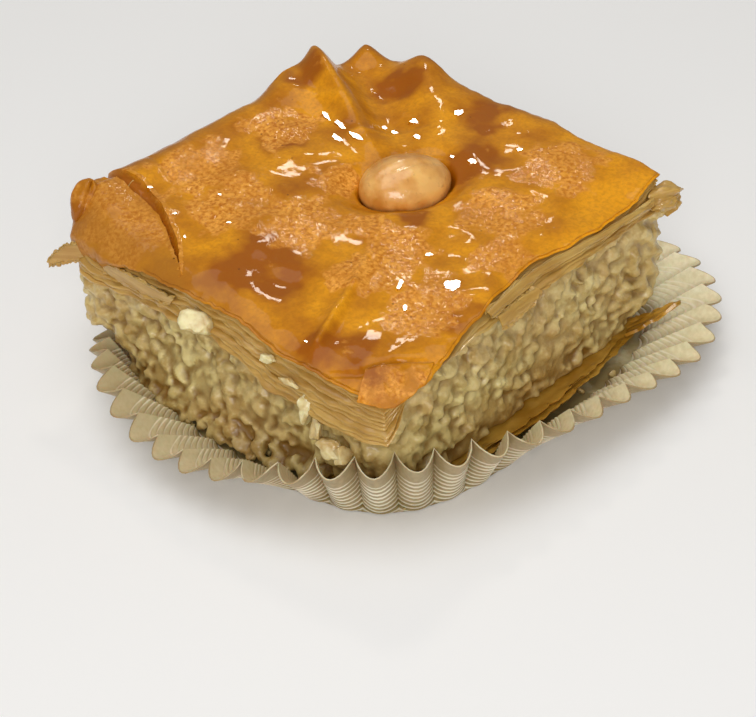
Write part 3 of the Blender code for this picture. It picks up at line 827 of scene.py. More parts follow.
# %% Places of the chopped nuts
CORE_ANGLES, MIDDLE_LEVEL = 2000, 0.012
SLUMPED_FROM, SLUMPED_TO = 203, 300
core_angles = evenly_round(lambda angle: core_reach(angle, MIDDLE_LEVEL), CORE_ANGLES)


def filling_top(angle):
    reach = core_reach(angle, MIDDLE_LEVEL)
    return seam_height(math.cos(angle) * reach, math.sin(angle) * reach)


def side_grains(seed, count, low, high, proud):
    """Chopped nuts all round the sides. proud is how far each may stand out, least and most."""
    draw = random.Random(seed)
    made = []
    for i in range(count):
        angle = core_angles[int((i + draw.random()) / count * CORE_ANGLES) % CORE_ANGLES]
        radius = between(low, high, draw.random() ** 1.5)
        highest = filling_top(angle) - 0.0002 - radius * 0.2
        z = between(FILLING_LEVEL + radius * 0.7, highest, draw.random())
        away = core_reach(angle, z) + between(*proud, draw.random()) - radius
        made.append((around(angle, away, z), radius, random_spin(draw)))
    return made


def foot_grains(seed, count):
    """Chopped nuts that have slumped onto the paper under the left front side."""
    draw = random.Random(seed)
    made = []
    for _ in range(count):
        angle = math.radians(draw.uniform(SLUMPED_FROM, SLUMPED_TO))
        radius = between(0.0008, 0.0018, draw.random() ** 1.3)
        out = draw.random()
        away = between(core_reach(angle, 0.003) - 0.0012, base_reach(angle) - 0.0006, out)
        z = PAPER + radius * 0.5 + 0.0022 * (1 - out)
        made.append((around(angle, away, z), radius, random_spin(draw)))
    return made


coarse = side_grains(3, 280, 0.0018, 0.0028, (-0.0001, 0.0007))
medium = side_grains(4, 1150, 0.0009, 0.0018, (-0.0004, 0.0004))
small = side_grains(5, 420, 0.0005, 0.0009, (-0.0003, 0.0004))
foot = foot_grains(6, 150)
loose = coarse + medium + small + foot
print(len(loose), "chopped nuts")

# %% Fusing the filling
CORE_COLUMNS, CORE_ROWS, CORE_BEHIND = 320, 40, 0.0008


def core_point(column, row):
    """The rough core that the nuts stick to, a little behind their faces."""
    angle = core_angles[int(column * CORE_ANGLES / CORE_COLUMNS)]
    share = row / CORE_ROWS
    z = between(FILLING_LEVEL, filling_top(angle) - 0.0004, share)
    reach = core_reach(angle, z) - CORE_BEHIND
    x, y = math.cos(angle) * reach, math.sin(angle) * reach
    reach += 0.0008 * cloud(x, y, z, 0.0045) + 0.0004 * cloud(x, y, z, 0.0018)
    return around(angle, reach, z)


def flatten_top_and_bottom(filling):
    """Keeps the filling under the seam and above the bottom sheets, and past these above the paper."""
    for vert in filling.data.vertices:
        x, y, z = vert.co
        sheets_end = superellipse(SHEET_HALF + 0.0012, SHEET_SQUARENESS, math.atan2(y, x))
        past_sheets = math.hypot(x, y) > sheets_end and x < 0.02
        lowest = PAPER + 0.0001 if past_sheets else FILLING_LEVEL
        vert.co.z = min(max(z, lowest), seam_height(x, y) - 0.0001)


def hide_inner_faces(filling):
    """Dissolves the flat inner part of the top and the underside, which nothing ever shows."""
    select_alone(filling)
    for face in filling.data.polygons:
        centre = face.center
        face.select = max(abs(centre.x), abs(centre.y)) < CORE_HALF - 0.004 and abs(face.normal.z) > 0.7
    bpy.ops.object.mode_set(mode="EDIT")
    bpy.ops.mesh.select_mode(type="FACE")
    bpy.ops.mesh.dissolve_faces()
    bpy.ops.object.mode_set(mode="OBJECT")


def make_filling():
    filling = rolled_grid("nut_filling_fused", CORE_COLUMNS, CORE_ROWS, core_point)
    grains = scatter("loose", chopped_kinds, loose)
    deselect_all()
    grains.select_set(True)
    filling.select_set(True)
    bpy.context.view_layer.objects.active = filling
    bpy.ops.object.join()
    use_modifier(filling, "REMESH", mode="VOXEL", voxel_size=REMESH, adaptivity=0.0)
    use_modifier(filling, "SMOOTH", factor=0.12, iterations=1)
    flatten_top_and_bottom(filling)
    hide_inner_faces(filling)
    shade(filling, 80)
    return filling


filling = make_filling()

# %% Crumbs on the paper


def fallen_crumbs(seed, count):
    """Crumbs that lie on the paper beside the filling, most of them under the left front side."""
    draw = random.Random(seed)
    made = []
    for i in range(count):
        angle = math.radians(draw.gauss(238, 20) if i % 4 else draw.uniform(0, 360))
        radius = between(0.0003, 0.0009, draw.random() ** 1.6)
        low, high = core_reach(angle, 0.003) - 0.0006, base_reach(angle) - 0.0002
        away = between(low, max(low, high), draw.random() ** 1.3)
        made.append((around(angle, away, PAPER + radius * 1.1), radius, random_spin(draw)))
    return made


crumbs = scatter("fallen_crumbs", chopped_kinds, fallen_crumbs(21, 90))
shade(crumbs, 60)

# %% Painting the filling
grain_tree = kdtree.KDTree(len(loose))
for index, (centre, _, _) in enumerate(loose):
    grain_tree.insert(centre, index)
grain_tree.balance()
tone_draw = random.Random(9)
grain_tone = [tone_draw.random() for _ in loose]


def hollows(mesh, rounds):
    """How deep each point lies in a crevice, in metres: its neighbours stand out further than it does."""
    count = len(mesh.vertices)
    points, normals = np.empty(count * 3), np.empty(count * 3)
    mesh.vertices.foreach_get("co", points)
    mesh.vertices.foreach_get("normal", normals)
    points, normals = points.reshape(-1, 3), normals.reshape(-1, 3)
    ends = np.empty(len(mesh.edges) * 2, dtype=np.int64)
    mesh.edges.foreach_get("vertices", ends)
    a, b = ends.reshape(-1, 2).T
    joined = np.maximum(np.bincount(a, minlength=count) + np.bincount(b, minlength=count), 1)
    middle = points.copy()
    for _ in range(rounds):
        sums = [np.bincount(a, middle[b, k], count) + np.bincount(b, middle[a, k], count) for k in range(3)]
        middle = np.stack(sums, 1) / joined[:, None]
    return ((middle - points) * normals).sum(axis=1)


def paint_filling(filling):
    """tone differs from nut to nut; wet, high in the hollows between them, sets their painted shade."""
    tones = [grain_tone[grain_tree.find(vert.co)[1]] for vert in filling.data.vertices]
    wet = hollows(filling.data, 6) / 0.00016 + hollows(filling.data, 40) / 0.00045
    shallow, deep = (round(float(np.percentile(wet, share)), 2) for share in (5, 95))
    print("hollows from", shallow, "to", deep)
    paint(filling, "tone", tones)
    paint(filling, "wet", wet)


paint_filling(filling)


def chopped_nut_finish():
    recipe = Recipe("syrupy_chopped_nuts", 0.45, Subsurface_Weight=0.2, Subsurface_Scale=0.0008,
                    Subsurface_Radius=(1.0, 0.8, 0.4), Coat_Weight=0.35, Coat_Roughness=0.15)
    height = recipe.node("ShaderNodeSeparateXYZ", {"Vector": recipe.place}).outputs["Z"]
    fine = recipe.noise(0.0005, 5.0)
    broad = recipe.noise(0.009, 3.0)
    nut = recipe.blend(recipe.attribute("tone"), srgb(180, 152, 84), srgb(230, 212, 146))
    nut = recipe.blend(recipe.range(broad, 0.40, 0.65, 0.0, 0.5), nut, srgb(190, 148, 82))
    nut = recipe.blend(recipe.range(fine, 0.5, 0.75, 0.0, 0.3), nut, srgb(236, 226, 172))
    # The nuts are drawn darker towards the bottom; the hollows, where wet is high, get painted shade.
    low = recipe.range(height, 0.010, 0.003, 0.0, 0.6)
    wet = recipe.sum(recipe.range(recipe.attribute("wet"), -1.0, 2.2), low)
    colour = recipe.blend(recipe.range(wet, 0.30, 1.20), nut, srgb(130, 94, 32))
    chips = recipe.bump(recipe.cells(0.0016), 0.00045, 0.55)
    return recipe.finish(colour=colour, normal=recipe.bump(fine, 0.00010, 0.7, under=chips))


chopped = chopped_nut_finish()
finish_piece(filling, chopped, "chopped_nuts", "nut_filling")
# The crumbs get none of the painted shade of the hollows.
tint(crumbs, tone=0.6, wet=-1.2)
finish_piece(crumbs, chopped, "chopped_nuts", "nut_filling")

# %% [markdown]
# ## The pale layers
#
# Between the filling and the browned skin lie sheets of phyllo that stayed pale. Cut by a knife,
# they show as thin wavy lines, a little uneven in reach. One sleeve is enough: its rows step out
# at each leaf and in at each gap between two leaves. Each leaf stands for a few real sheets, which
# the finish draws as finer lines.

# %% Building the layers
STACK_COLUMNS, LEAVES = 640, 9
LEAF_PROFILE = ((0.08, -0.6), (0.26, 0.5), (0.74, 0.45), (0.92, -0.5))


def square_reach(angle):
    return HALF_SIDE / max(abs(math.cos(angle)), abs(math.sin(angle)))


def rim_points(count):
    """Points evenly round the square, starting in the middle of the +X side."""
    for angle in evenly_round(square_reach, count):
        yield math.cos(angle) * square_reach(angle), math.sin(angle) * square_reach(angle)


stack_rim = [stack_outline(x, y) for x, y in rim_points(STACK_COLUMNS)]
LEAF_ROWS = [(leaf, share, out) for leaf in range(LEAVES) for share, out in LEAF_PROFILE]


def hem_drop(x, y):
    """How far the skin hangs down over the nearest side."""
    side = nearest_side(x, y)
    return curve_through(HEM[side], side_place(side, x, y)[1] / HALF_SIDE)


def flap_drop(x, y):
    """How far the corner past the crack has sunk."""
    past, opened, _ = crack_place(x, y)
    return 0.0009 * smooth(past / 0.002) * opened + 18.0 * max(0.0, past) ** 2


CRACK_SUNK, CRACK_LEAST = 0.0011, 0.02


def crack_lips(x, opened):
    """The two edges of the break: widest near its start, with torn steps."""
    half = between(0.00022, 0.00062, smooth(opened)) + 0.00045 * bell(x, -0.0285, 0.0045)
    half += 0.00012 * cloud(x, 0.0, 0.0, 0.0014)
    return CRACK_LIP - half, CRACK_LIP + half


def in_crack(x, y, least_opened):
    """Whether a point lies between the lips, where the crack is opened by some share at least."""
    past, opened, _ = crack_place(x, y)
    near, far = crack_lips(x, opened)
    return opened > least_opened and near + 1e-5 < past < far - 1e-5


def crack_drop(x, y):
    """How far the skin lies below its plain height, on the flap and in the crack."""
    drop = flap_drop(x, y)
    if in_crack(x, y, CRACK_LEAST):
        drop += CRACK_SUNK * smooth(crack_place(x, y)[1] * 1.6)
    return drop


def stack_point(column, row):
    """The first and last rows close the stack below, and the second lies under the skin's edge."""
    x, y = stack_rim[column]
    on_right = nearest_side(x, y) == "+X"
    bottom = seam_height(x, y) - 0.0001
    inside = shoulder(x, y) + 0.0002
    start = plain_height(x - inside, y) - flap_drop(x, y) - 0.0007
    if row in (0, len(LEAF_ROWS) + 2):
        return Vector((x * 0.88, y * 0.88, bottom + (0.0005 if row == 0 else 0.0)))
    if row == 1:
        away = outward(x, y)
        x, y = x - (inside if on_right else 0) - 0.0016 * away.x, y - 0.0016 * away.y
        return Vector((x, y, plain_height(x, y) - crack_drop(x, y) - 0.0010))
    leaf, share, out = LEAF_ROWS[row - 2]
    if on_right:
        x -= inside * (1 - (leaf + share) / LEAVES) ** 1.3
    thick = (start - bottom) / LEAVES
    uneven = 0.45 * thick * cloud(x, y, leaf * 0.5, 0.007)
    z = start - (leaf + share) * thick + uneven
    own = 0.00030 * cloud(leaf * 3.1, 0.5, 0.0, 1.0)
    ragged = 0.00055 * cloud(x, y, leaf * 0.37, 0.008) + 0.00030 * cloud(x, y, leaf * 0.37, 0.0018)
    lowest = smooth((leaf - LEAVES + 3) / 2) * 0.0007 * max(0.0, cloud(x, y, 8.0, 0.004))
    skirt = 0.0010 * smooth((start - z) / 0.008) * smooth((-y - 0.02) / 0.008)
    skirt *= between(1, 2, smooth((x - 0.012) / 0.015))
    corner = 0.0018 * bell(math.atan2(y, x) % math.tau, math.radians(225), 0.16)
    corner *= smooth((leaf / LEAVES - 0.35) / 0.3)
    reach = -0.0003 + own + ragged + lowest + out * 0.00016 + skirt + corner
    away = outward(x, y)
    return Vector((x + away.x * reach, y + away.y * reach, min(start, max(bottom, z))))


pale_layers = rolled_grid("pale_layers", STACK_COLUMNS, len(LEAF_ROWS) + 2, stack_point)
shade(pale_layers, 70)

# %% Pale phyllo finish


def pale_phyllo():
    """Cream sheets with finer lines than the model has, moist and slightly see-through."""
    recipe = Recipe("moist_pale_phyllo", 0.40, Subsurface_Weight=0.3, Subsurface_Scale=0.0010,
                    Subsurface_Radius=(1.0, 0.7, 0.35), Coat_Weight=0.6, Coat_Roughness=0.12)
    thin = recipe.noise(0.0060, 4.0, recipe.stretched((1.0, 1.0, 11.0)), distortion=0.8)
    fine = recipe.noise(0.0005, 4.0)
    cream = recipe.blend(recipe.range(thin, 0.35, 0.65), srgb(182, 140, 62), srgb(206, 168, 90))
    broad = recipe.noise(0.008, 3.0)
    colour = recipe.blend(recipe.range(broad, 0.42, 0.68, 0.0, 0.6), cream, srgb(170, 124, 50))
    lines = recipe.bump(thin, 0.00010, 0.4)
    return recipe.finish(colour=colour, normal=recipe.bump(fine, 0.00005, 0.5, under=lines))


pale = pale_phyllo()
finish_piece(pale_layers, pale, "glazed_phyllo", "top_phyllo")

# %% [markdown]
# ## The browned skin
#
# The top sheets have baked into one crisp skin, drawn into pleats towards the nut, cracked across
# one corner and hanging over the front edge. It is one square grid: the inner part is the top,
# and the outer rings turn down over the edge. Points near the crack are moved onto its lips, so
# that the break is clean and does not follow the grid's steps.

# %% Laying the skin
SKIN_CELLS, HEM_RINGS = 190, 8
TOP_SHARE = 1 - 2 * HEM_RINGS / SKIN_CELLS
SKIN_THICK = 0.00045
FRONT_CORNER_BLUNT = 0.0016
NUT_SEAT = 0.0034
CELL = 2 * HALF_SIDE / (SKIN_CELLS - 2 * HEM_RINGS)


def snap_to_crack(x, y):
    """Moves a point that is nearly on a lip of the crack onto it."""
    past, opened, across = crack_place(x, y)
    if opened <= CRACK_LEAST:
        return x, y
    for lip in crack_lips(x, opened):
        if abs(past - lip) < CELL * 0.5:
            return x + across[0] * (lip - past), y + across[1] * (lip - past)
    return x, y


def wrinkles(x, y):
    """Fine creases, crinkles and blisters of the baked skin."""
    crease = 1 - abs(cloud(x, y + 0.4 * x, 2.0, 0.0065)) * 2
    spokes = math.atan2(y - NUT_CENTRE.y, x - NUT_CENTRE.x)
    spread = bell(nut_distance(x, y), 2.4, 1.5)
    z = 0.00006 * max(0.0, crease) ** 6
    around_nut = math.cos(spokes) * 0.9, math.sin(spokes) * 0.9, nut_distance(x, y) * 0.12
    z += 0.00016 * spread * cloud(*around_nut, 0.25)
    z += 0.00007 * cloud(x, y, 4.0, 0.0030) + 0.000012 * cloud(x, y, 5.0, 0.0009)
    return z


FINE_FOLDS = (
    ((-0.0330, 0.0208), (-0.0100, 0.0098), 0.0008, 0.0004, 0.0002),
    ((0.0070, -0.0066), (0.0128, -0.0172), 0.0005, 0.0002, 0.0004),
    ((0.0128, -0.0172), (0.0172, -0.0290), 0.0006, 0.0004, 0.0006),
    ((0.0098, -0.0090), (0.0142, -0.0180), 0.0005, 0.0002, 0.0002),
    ((-0.0320, 0.0120), (-0.0210, 0.0140), 0.0007, 0.0000, 0.0004),
    ((-0.0140, 0.0100), (-0.0060, 0.0200), 0.0006, 0.0003, 0.0000),
)
FINE_GROOVES = (
    ((-0.0355, -0.0225), (-0.0350, -0.0290), 0.0009, 0.0010, 0.0001),
    ((0.0215, -0.0312), (0.0250, -0.0288), 0.0004, 0.0004, 0.0007),
    ((0.0250, -0.0280), (0.0274, -0.0243), 0.0005, 0.0009, 0.0010),
    ((0.0274, -0.0243), (0.0306, -0.0204), 0.0005, 0.0010, 0.0004),
    ((-0.0335, -0.0150), (-0.0260, -0.0170), 0.0004, 0.0002, 0.0003),
)


def skin_level(x, y):
    z = plain_height(x, y) + wrinkles(x, y)
    z += sum(ridge(x, y, *fold) for fold in FINE_FOLDS)
    return z - sum(ridge(x, y, *groove) for groove in FINE_GROOVES)


def skin_point(u, v):
    """The inner cells are the top, and the outer rings turn down over its edge."""
    m = max(abs(u), abs(v), 1e-9)
    down = max(0.0, (m - TOP_SHARE) / (1 - TOP_SHARE))
    gx, gy = (u / m, v / m) if down else (u / TOP_SHARE, v / TOP_SHARE)
    x, y = stack_outline(gx * HALF_SIDE, gy * HALF_SIDE)
    push_x, push_y = overhang(x, y)
    ragged = 0.0005 * cloud(x, y, 0.7, 0.009) + 0.0002 * cloud(x, y, 0.8, 0.0012)
    ragged *= max(abs(gx), abs(gy)) ** 30
    away = outward(x, y)
    blunt = FRONT_CORNER_BLUNT * max(0.0, (gx - gy) / 2) ** 14
    top_x = x + push_x + away.x * ragged - blunt
    top_y = y + push_y + away.y * ragged + blunt
    if not down:
        top_x, top_y = snap_to_crack(top_x, top_y)
    z = skin_level(top_x, top_y) - crack_drop(top_x, top_y)
    z -= NUT_SEAT * smooth((1.10 - nut_distance(top_x, top_y)) / 0.16)
    if down:
        hang = hem_drop(x, y) * (1 + 0.18 * cloud(x, y, 1.2, 0.006) + 0.07 * cloud(x, y, 1.3, 0.0016))
        swell = 0.0004 * math.sin(down * math.pi) - 0.35 * down * math.hypot(push_x, push_y)
        return Vector((top_x + away.x * swell, top_y + away.y * swell, z - hang * down))
    return Vector((top_x, top_y, z))


skin = laid_grid("browned_skin", SKIN_CELLS, skin_point)

# %% Painting the skin
# Places of the dull, crinkled patches and of the darker amber ones, as x, y and half width.
DULL_PATCHES = (
    (-0.0036, -0.0118, 0.0085), (0.0224, -0.0145, 0.0080), (0.0123, -0.0075, 0.0072),
    (-0.0150, -0.0153, 0.0095), (0.0172, 0.0087, 0.0085), (-0.0253, -0.0121, 0.0095),
    (0.0171, 0.0230, 0.0085), (-0.0320, -0.0270, 0.0095), (-0.0235, 0.0035, 0.0075),
    (0.0120, -0.0150, 0.0060), (0.0240, 0.0010, 0.0060), (-0.0220, -0.0280, 0.0080),
    (0.0040, -0.0060, 0.0050), (-0.0080, 0.0000, 0.0050),
)
AMBER_PATCHES = (
    (0.0001, -0.0224, 0.0080), (-0.0173, 0.0257, 0.0050), (0.0200, -0.0280, 0.0060),
    (-0.0225, 0.0020, 0.0060), (0.0290, -0.0123, 0.0045), (-0.0300, 0.0150, 0.0040),
    (0.0050, 0.0170, 0.0060), (0.0080, 0.0000, 0.0035), (-0.0010, 0.0260, 0.0050),
)


def patch_value(patches, x, y):
    """1 well inside a patch and 0 well outside all of them, with a wobbly edge."""
    wobble = 0.0022 * cloud(x, y, 6.0, 0.004) + 0.0012 * cloud(x, y, 7.0, 0.0016)

    def inside(patch_x, patch_y, half):
        away = math.hypot(x - patch_x, y - patch_y) + wobble
        return 1 - smooth(away / half * 1.4 - 0.5)

    return max(inside(*patch) for patch in patches)


def paint_skin(skin):
    """toast: how deeply a spot has browned. dull: where syrup has dried. inner: in the crack."""
    toast, dull, pale_edge, inner = [], [], [], []
    for vert in skin.data.vertices:
        x, y, _ = vert.co
        paler = 0.35 * smooth((x - 0.008) / 0.018) * smooth((y + 0.020) / 0.012)
        folded = sum(ridge(x, y, *fold) for fold in FINE_FOLDS)
        amber = patch_value(AMBER_PATCHES, x, y)
        toast.append(0.45 - paler + 0.65 * amber - 0.5 * folded / 0.0005)
        dull.append(patch_value(DULL_PATCHES, x, y))
        out = max(side_place(side, x, y)[0] for side in HEM)
        front = smooth((-y - 0.0265) / 0.006) * smooth((0.016 - x) / 0.03)
        front += 0.5 * smooth(crack_place(x, y)[0] / 0.002)
        pale_edge.append(min(1.0, max(front, smooth((out - 0.0308) / 0.0012) * 0.6)))
        inner.append(in_crack(x, y, 0.05))
    paint(skin, "toast", toast)
    paint(skin, "dull", dull)
    paint(skin, "pale_edge", pale_edge)
    paint(skin, "inner", inner)


paint_skin(skin)
thicken(skin, SKIN_THICK, 60, offset=-1.0)

# %% [markdown]
# ### Glazed skin finish
#
# Three things show on the real skin: a deep amber where syrup lies over it, dull tan patches
# where the crisp sheet has crinkled dry, and a wet gloss over both that breaks into small
# sparkles. The amber and the tan are mixed by the painted patches and a fine noise, and the
# gloss is the shader's coat, with a bump of its own.

# %% Skin recipe


def glazed_skin():
    recipe = Recipe("glazed_browned_skin", 0.48, Coat_Weight=0.55, Coat_Roughness=0.05, Coat_IOR=1.36,
                    Specular_IOR_Level=0.10, Subsurface_Weight=0.05, Subsurface_Scale=0.0006,
                    Subsurface_Radius=(1.0, 0.5, 0.1))
    cloudy = recipe.noise(0.0070, 5.0)
    sand = recipe.noise(0.00060, 3.0, distortion=0.3)
    shore = recipe.noise(0.0032, 7.0)
    toast = recipe.sum(recipe.attribute("toast"), recipe.range(cloudy, 0.3, 0.7, -0.45, 0.45))
    amber = recipe.blend(recipe.range(toast, 0.0, 1.0), srgb(236, 160, 18), srgb(160, 86, 0))
    amber = recipe.blend(recipe.range(sand, 0.40, 0.70, 0.0, 0.35), amber, srgb(160, 94, 8))
    tan = recipe.blend(recipe.range(sand, 0.34, 0.66), srgb(188, 108, 18), srgb(252, 178, 74))
    tan = recipe.blend(recipe.range(cloudy, 0.35, 0.65, 0.0, 0.5), tan, srgb(194, 120, 22))
    spread = recipe.sum(recipe.attribute("dull"), recipe.range(shore, 0.3, 0.7, -0.5, 0.5))
    dry = recipe.range(spread, 0.36, 0.70)
    colour = recipe.blend(recipe.sum(dry, 0.92, "MULTIPLY"), amber, tan)
    edge = recipe.range(recipe.attribute("pale_edge"), 0.0, 1.0, 0.0, 0.65)
    colour = recipe.blend(edge, colour, srgb(164, 106, 34))
    specks = recipe.cells(0.0040)
    colour = recipe.blend(recipe.range(specks, 0.030, 0.055, 0.65, 0.0), colour, srgb(96, 50, 10))
    # The torn sheet inside the crack is drawn a darker amber: partly its own colour, partly painted shade
    # for the crack's depth.
    colour = recipe.blend(recipe.attribute("inner"), colour, srgb(168, 96, 12))
    step = recipe.bump(dry, 0.00005, 0.6)
    normal = recipe.bump(sand, 0.00007, recipe.range(dry, 0.0, 1.0, 0.2, 0.7), under=step)
    wet = recipe.bump(recipe.noise(0.0030, 2.0), 0.00005, 0.4, under=step)
    crinkle = recipe.noise(0.0011, 2.0, distortion=0.5)
    sparkle = recipe.bump(crinkle, 0.00020, recipe.range(dry, 0.0, 1.0, 0.05, 0.9), under=wet)
    return recipe.finish(colour=colour, normal=normal, coat_normal=sparkle)


glazed = glazed_skin()
finish_piece(skin, glazed, "glazed_phyllo", "top_phyllo")

# %% [markdown]
# ### Torn edges and loose sheets
#
# Phyllo tears in thin sheets: the break across the corner has two torn lips, a triangular piece
# has lifted at the front corner, a pale tip curls away at the left, and thin cream sheets show
# along the right edge and low on the front. Each is a strip of grid stretched between two edges,
# given as a few points in millimetres, and then thickened a little. Above the pale tip the flap's
# corner has rolled up into a knob.

# %% A sheet between two edges


def path_through(points, share):
    """A smooth path through a few points, with share from 0 to 1 along it."""
    place = share * (len(points) - 1)
    i = min(int(place), len(points) - 2)
    near = (Vector(points[min(max(i + k, 0), len(points) - 1)]) for k in (-1, 0, 1, 2))
    return on_smooth_curve(*near, place - i)


def small_sheet(name, one_edge, other_edge, thick=0.00025, crown=0.0, ragged=0.15, cells=40,
                on_skin=False):
    """on_skin: the third number is the height above the skin instead of above the floor."""
    def place(u, v):
        s, t = (u + 1) / 2, (v + 1) / 2
        point = path_through(one_edge, s).lerp(path_through(other_edge, s), t)
        edge = abs(2 * t - 1) ** 4
        point += ragged * edge * Vector([cloud(s + k, t, len(name), 0.07) for k in range(3)])
        point.z += crown * math.sin(math.pi * t) + 0.10 * cloud(s, t, 1.0 + len(name), 0.25)
        point *= MM
        if on_skin:
            point.z += skin_level(point.x, point.y) - flap_drop(point.x, point.y)
        return point

    sheet = laid_grid(name, cells, place)
    thicken(sheet, thick, 60)
    return sheet


# %% Lips of the crack
LIP_CELLS, LIP_WIDTH, LIP_TURNS_DOWN = 160, 0.0009, 0.75


def crack_lip(name, upper):
    """A torn edge that follows the break, a little proud of the skin and turned down into it."""
    def place(u, v):
        s, t = between(-0.0005, CRACK_END - 0.0010, (u + 1) / 2), (v + 1) / 2
        x, y = s - CRACK_FROM, crack_line(s)
        _, opened, across = crack_place(x, y)
        wave = 0.00010 * cloud(s, 0.3, 0.0, 0.0009) + 0.00012 * cloud(s, 0.6, 0.0, 0.003)
        reach = between(-LIP_WIDTH, 0.00012 + wave, min(1.0, t / LIP_TURNS_DOWN))
        lips = crack_lips(x, opened)
        past = lips[0] + reach if upper else lips[1] - reach
        x, y = x + across[0] * past, y + across[1] * past
        z = skin_level(x, y) - (0.0 if upper else flap_drop(x, y))
        rise = 0.00005 * smooth(t / 0.5) * opened - 0.00002
        turned_down = max(0.0, (t - LIP_TURNS_DOWN) / (1 - LIP_TURNS_DOWN))
        return Vector((x, y, z + rise - 0.0007 * turned_down))

    lip = laid_grid(name, LIP_CELLS, place)
    shade(lip, 70)
    return lip


for name, upper in (("upper_lip", True), ("lower_lip", False)):
    lip = crack_lip(name, upper)
    tint(lip, toast=0.35, dull=0.75, pale_edge=0.2 if upper else 0.6)
    finish_piece(lip, glazed, "glazed_phyllo", "top_phyllo")

# %% Lifted and hanging sheets
lifted = small_sheet("lifted_corner", [(25.2, -27.7, 0.8), (27.6, -24.4, 0.35), (30.7, -20.9, 0.1)],
                     [(27.4, -32.1, 0.35), (31.6, -30.2, 0.1), (32.2, -24.4, 0.1)],
                     thick=0.00035, on_skin=True)
tint(lifted, toast=0.7, dull=0.55, pale_edge=0.0)
finish_piece(lifted, glazed, "glazed_phyllo", "top_phyllo")
# Each loose sheet has a name, its upper and its lower edge, and how far it bulges.
PALE_SHEETS = (
    ("curled_tip", [(-31.4, -31.6, 22.6), (-33.8, -33.4, 22.2), (-36.4, -35.2, 19.2)],
     [(-30.8, -31.8, 19.6), (-33.2, -33.4, 19.2), (-36.0, -35.2, 18.4)], 0.4),
    ("edge_sheet_right",
     [(29.9, -9.5, 23.6), (28.7, -2.0, 23.9), (28.9, 4.0, 24.1), (30.4, 14.0, 24.5), (31.4, 27.0, 24.7)],
     [(30.7, -9.0, 22.8), (29.9, -1.0, 23.0), (29.8, 5.0, 23.2), (31.2, 15.0, 23.8), (32.0, 26.0, 24.0)],
     0.3),
    ("torn_sheet_right", [(30.5, -8.0, 22.6), (30.2, -4.0, 22.6), (30.2, 0.0, 22.8)],
     [(32.2, -8.5, 21.2), (31.6, -4.0, 20.6), (31.4, 1.0, 21.8)], 0.4),
    ("torn_sheet_front", [(-26.0, -32.2, 22.0), (-17.0, -32.4, 22.4), (-9.0, -32.2, 22.0)],
     [(-25.0, -32.6, 20.2), (-17.0, -32.9, 20.2), (-10.0, -32.5, 20.6)], 0.1),
)
for name, one_edge, other_edge, crown in PALE_SHEETS:
    sheet = small_sheet(name, one_edge, other_edge, crown=crown, ragged=0.5, cells=48)
    finish_piece(sheet, pale, "glazed_phyllo", "top_phyllo")

# %% Rolled fold at the left corner
FOLD_CENTRE, FOLD_HALF = Vector((-0.0347, -0.0274, 0.0266)), Vector((0.0025, 0.0022, 0.0035))
FOLD_LEAN = Matrix.Rotation(math.radians(-34), 3, "X")


def rolled_fold():
    """Where the flap's corner has rolled up into a small wet knob."""
    deselect_all()
    bpy.ops.mesh.primitive_uv_sphere_add(segments=64, ring_count=40, radius=1.0)
    fold = bpy.context.object
    fold.name = "rolled_fold"
    for vert in fold.data.vertices:
        x, y, z = vert.co
        lumps = 1 + 0.22 * cloud(x, y, z, 0.9) + 0.05 * cloud(x, y, z, 0.3)
        lumps -= 0.20 * bell(math.atan2(y, x), -0.7, 0.35)
        shaped = Vector((x * FOLD_HALF.x, y * FOLD_HALF.y, z * FOLD_HALF.z)) * lumps
        vert.co = FOLD_CENTRE + FOLD_LEAN @ shaped
    shade(fold, 80)
    return fold


fold = rolled_fold()
tint(fold, toast=0.7, dull=0.45, pale_edge=0.5)
finish_piece(fold, glazed, "glazed_phyllo", "top_phyllo")

# %% Pools of syrup
# Syrup has run together in thin pools and drops. Each has its place, its half length and width,
# and its turn in degrees.
SYRUP_POOLS = (
    (0.0231, -0.0084, 0.0017, 0.0013, 0), (-0.0205, 0.0109, 0.0018, 0.0005, -8),
    (-0.0168, 0.0103, 0.0021, 0.0006, -10), (-0.0128, 0.0096, 0.0020, 0.0007, -6),
    (-0.0149, 0.0075, 0.0014, 0.0006, -12), (-0.0133, 0.0164, 0.0007, 0.0004, 10),
    (-0.0108, 0.0162, 0.0009, 0.0004, 0), (-0.0062, 0.0166, 0.0010, 0.0005, 5),
    (-0.0097, 0.0198, 0.0009, 0.0007, 30), (-0.0049, 0.0249, 0.0010, 0.0007, 60),
    (0.0057, 0.0161, 0.0009, 0.0007, 20), (0.0019, 0.0156, 0.0005, 0.0003, 0),
    (0.0173, -0.0129, 0.0015, 0.0004, -60), (0.0209, -0.0158, 0.0009, 0.0003, -50),
    (0.0157, -0.0051, 0.0007, 0.0004, 30), (-0.0267, -0.0208, 0.0005, 0.0002, 60),
    (-0.0176, -0.0149, 0.0004, 0.0002, 20), (-0.0110, -0.0190, 0.0005, 0.0002, 50),
    (-0.0138, -0.0252, 0.0004, 0.0002, -30), (-0.0187, -0.0228, 0.0004, 0.0002, 75),
    (0.0154, -0.0294, 0.0003, 0.0002, 0), (0.0093, 0.0229, 0.0006, 0.0004, 40),
)
POOL_PROUD = 0.00012


def mirror_slopes(spot):
    """How a flat spot slopes along X and Y where it mirrors the lamp behind to the camera."""
    half_way = (LAMP_BEHIND - spot).normalized() + (CAMERA_PLACE - spot).normalized()
    return -half_way.x / half_way.z, -half_way.y / half_way.z


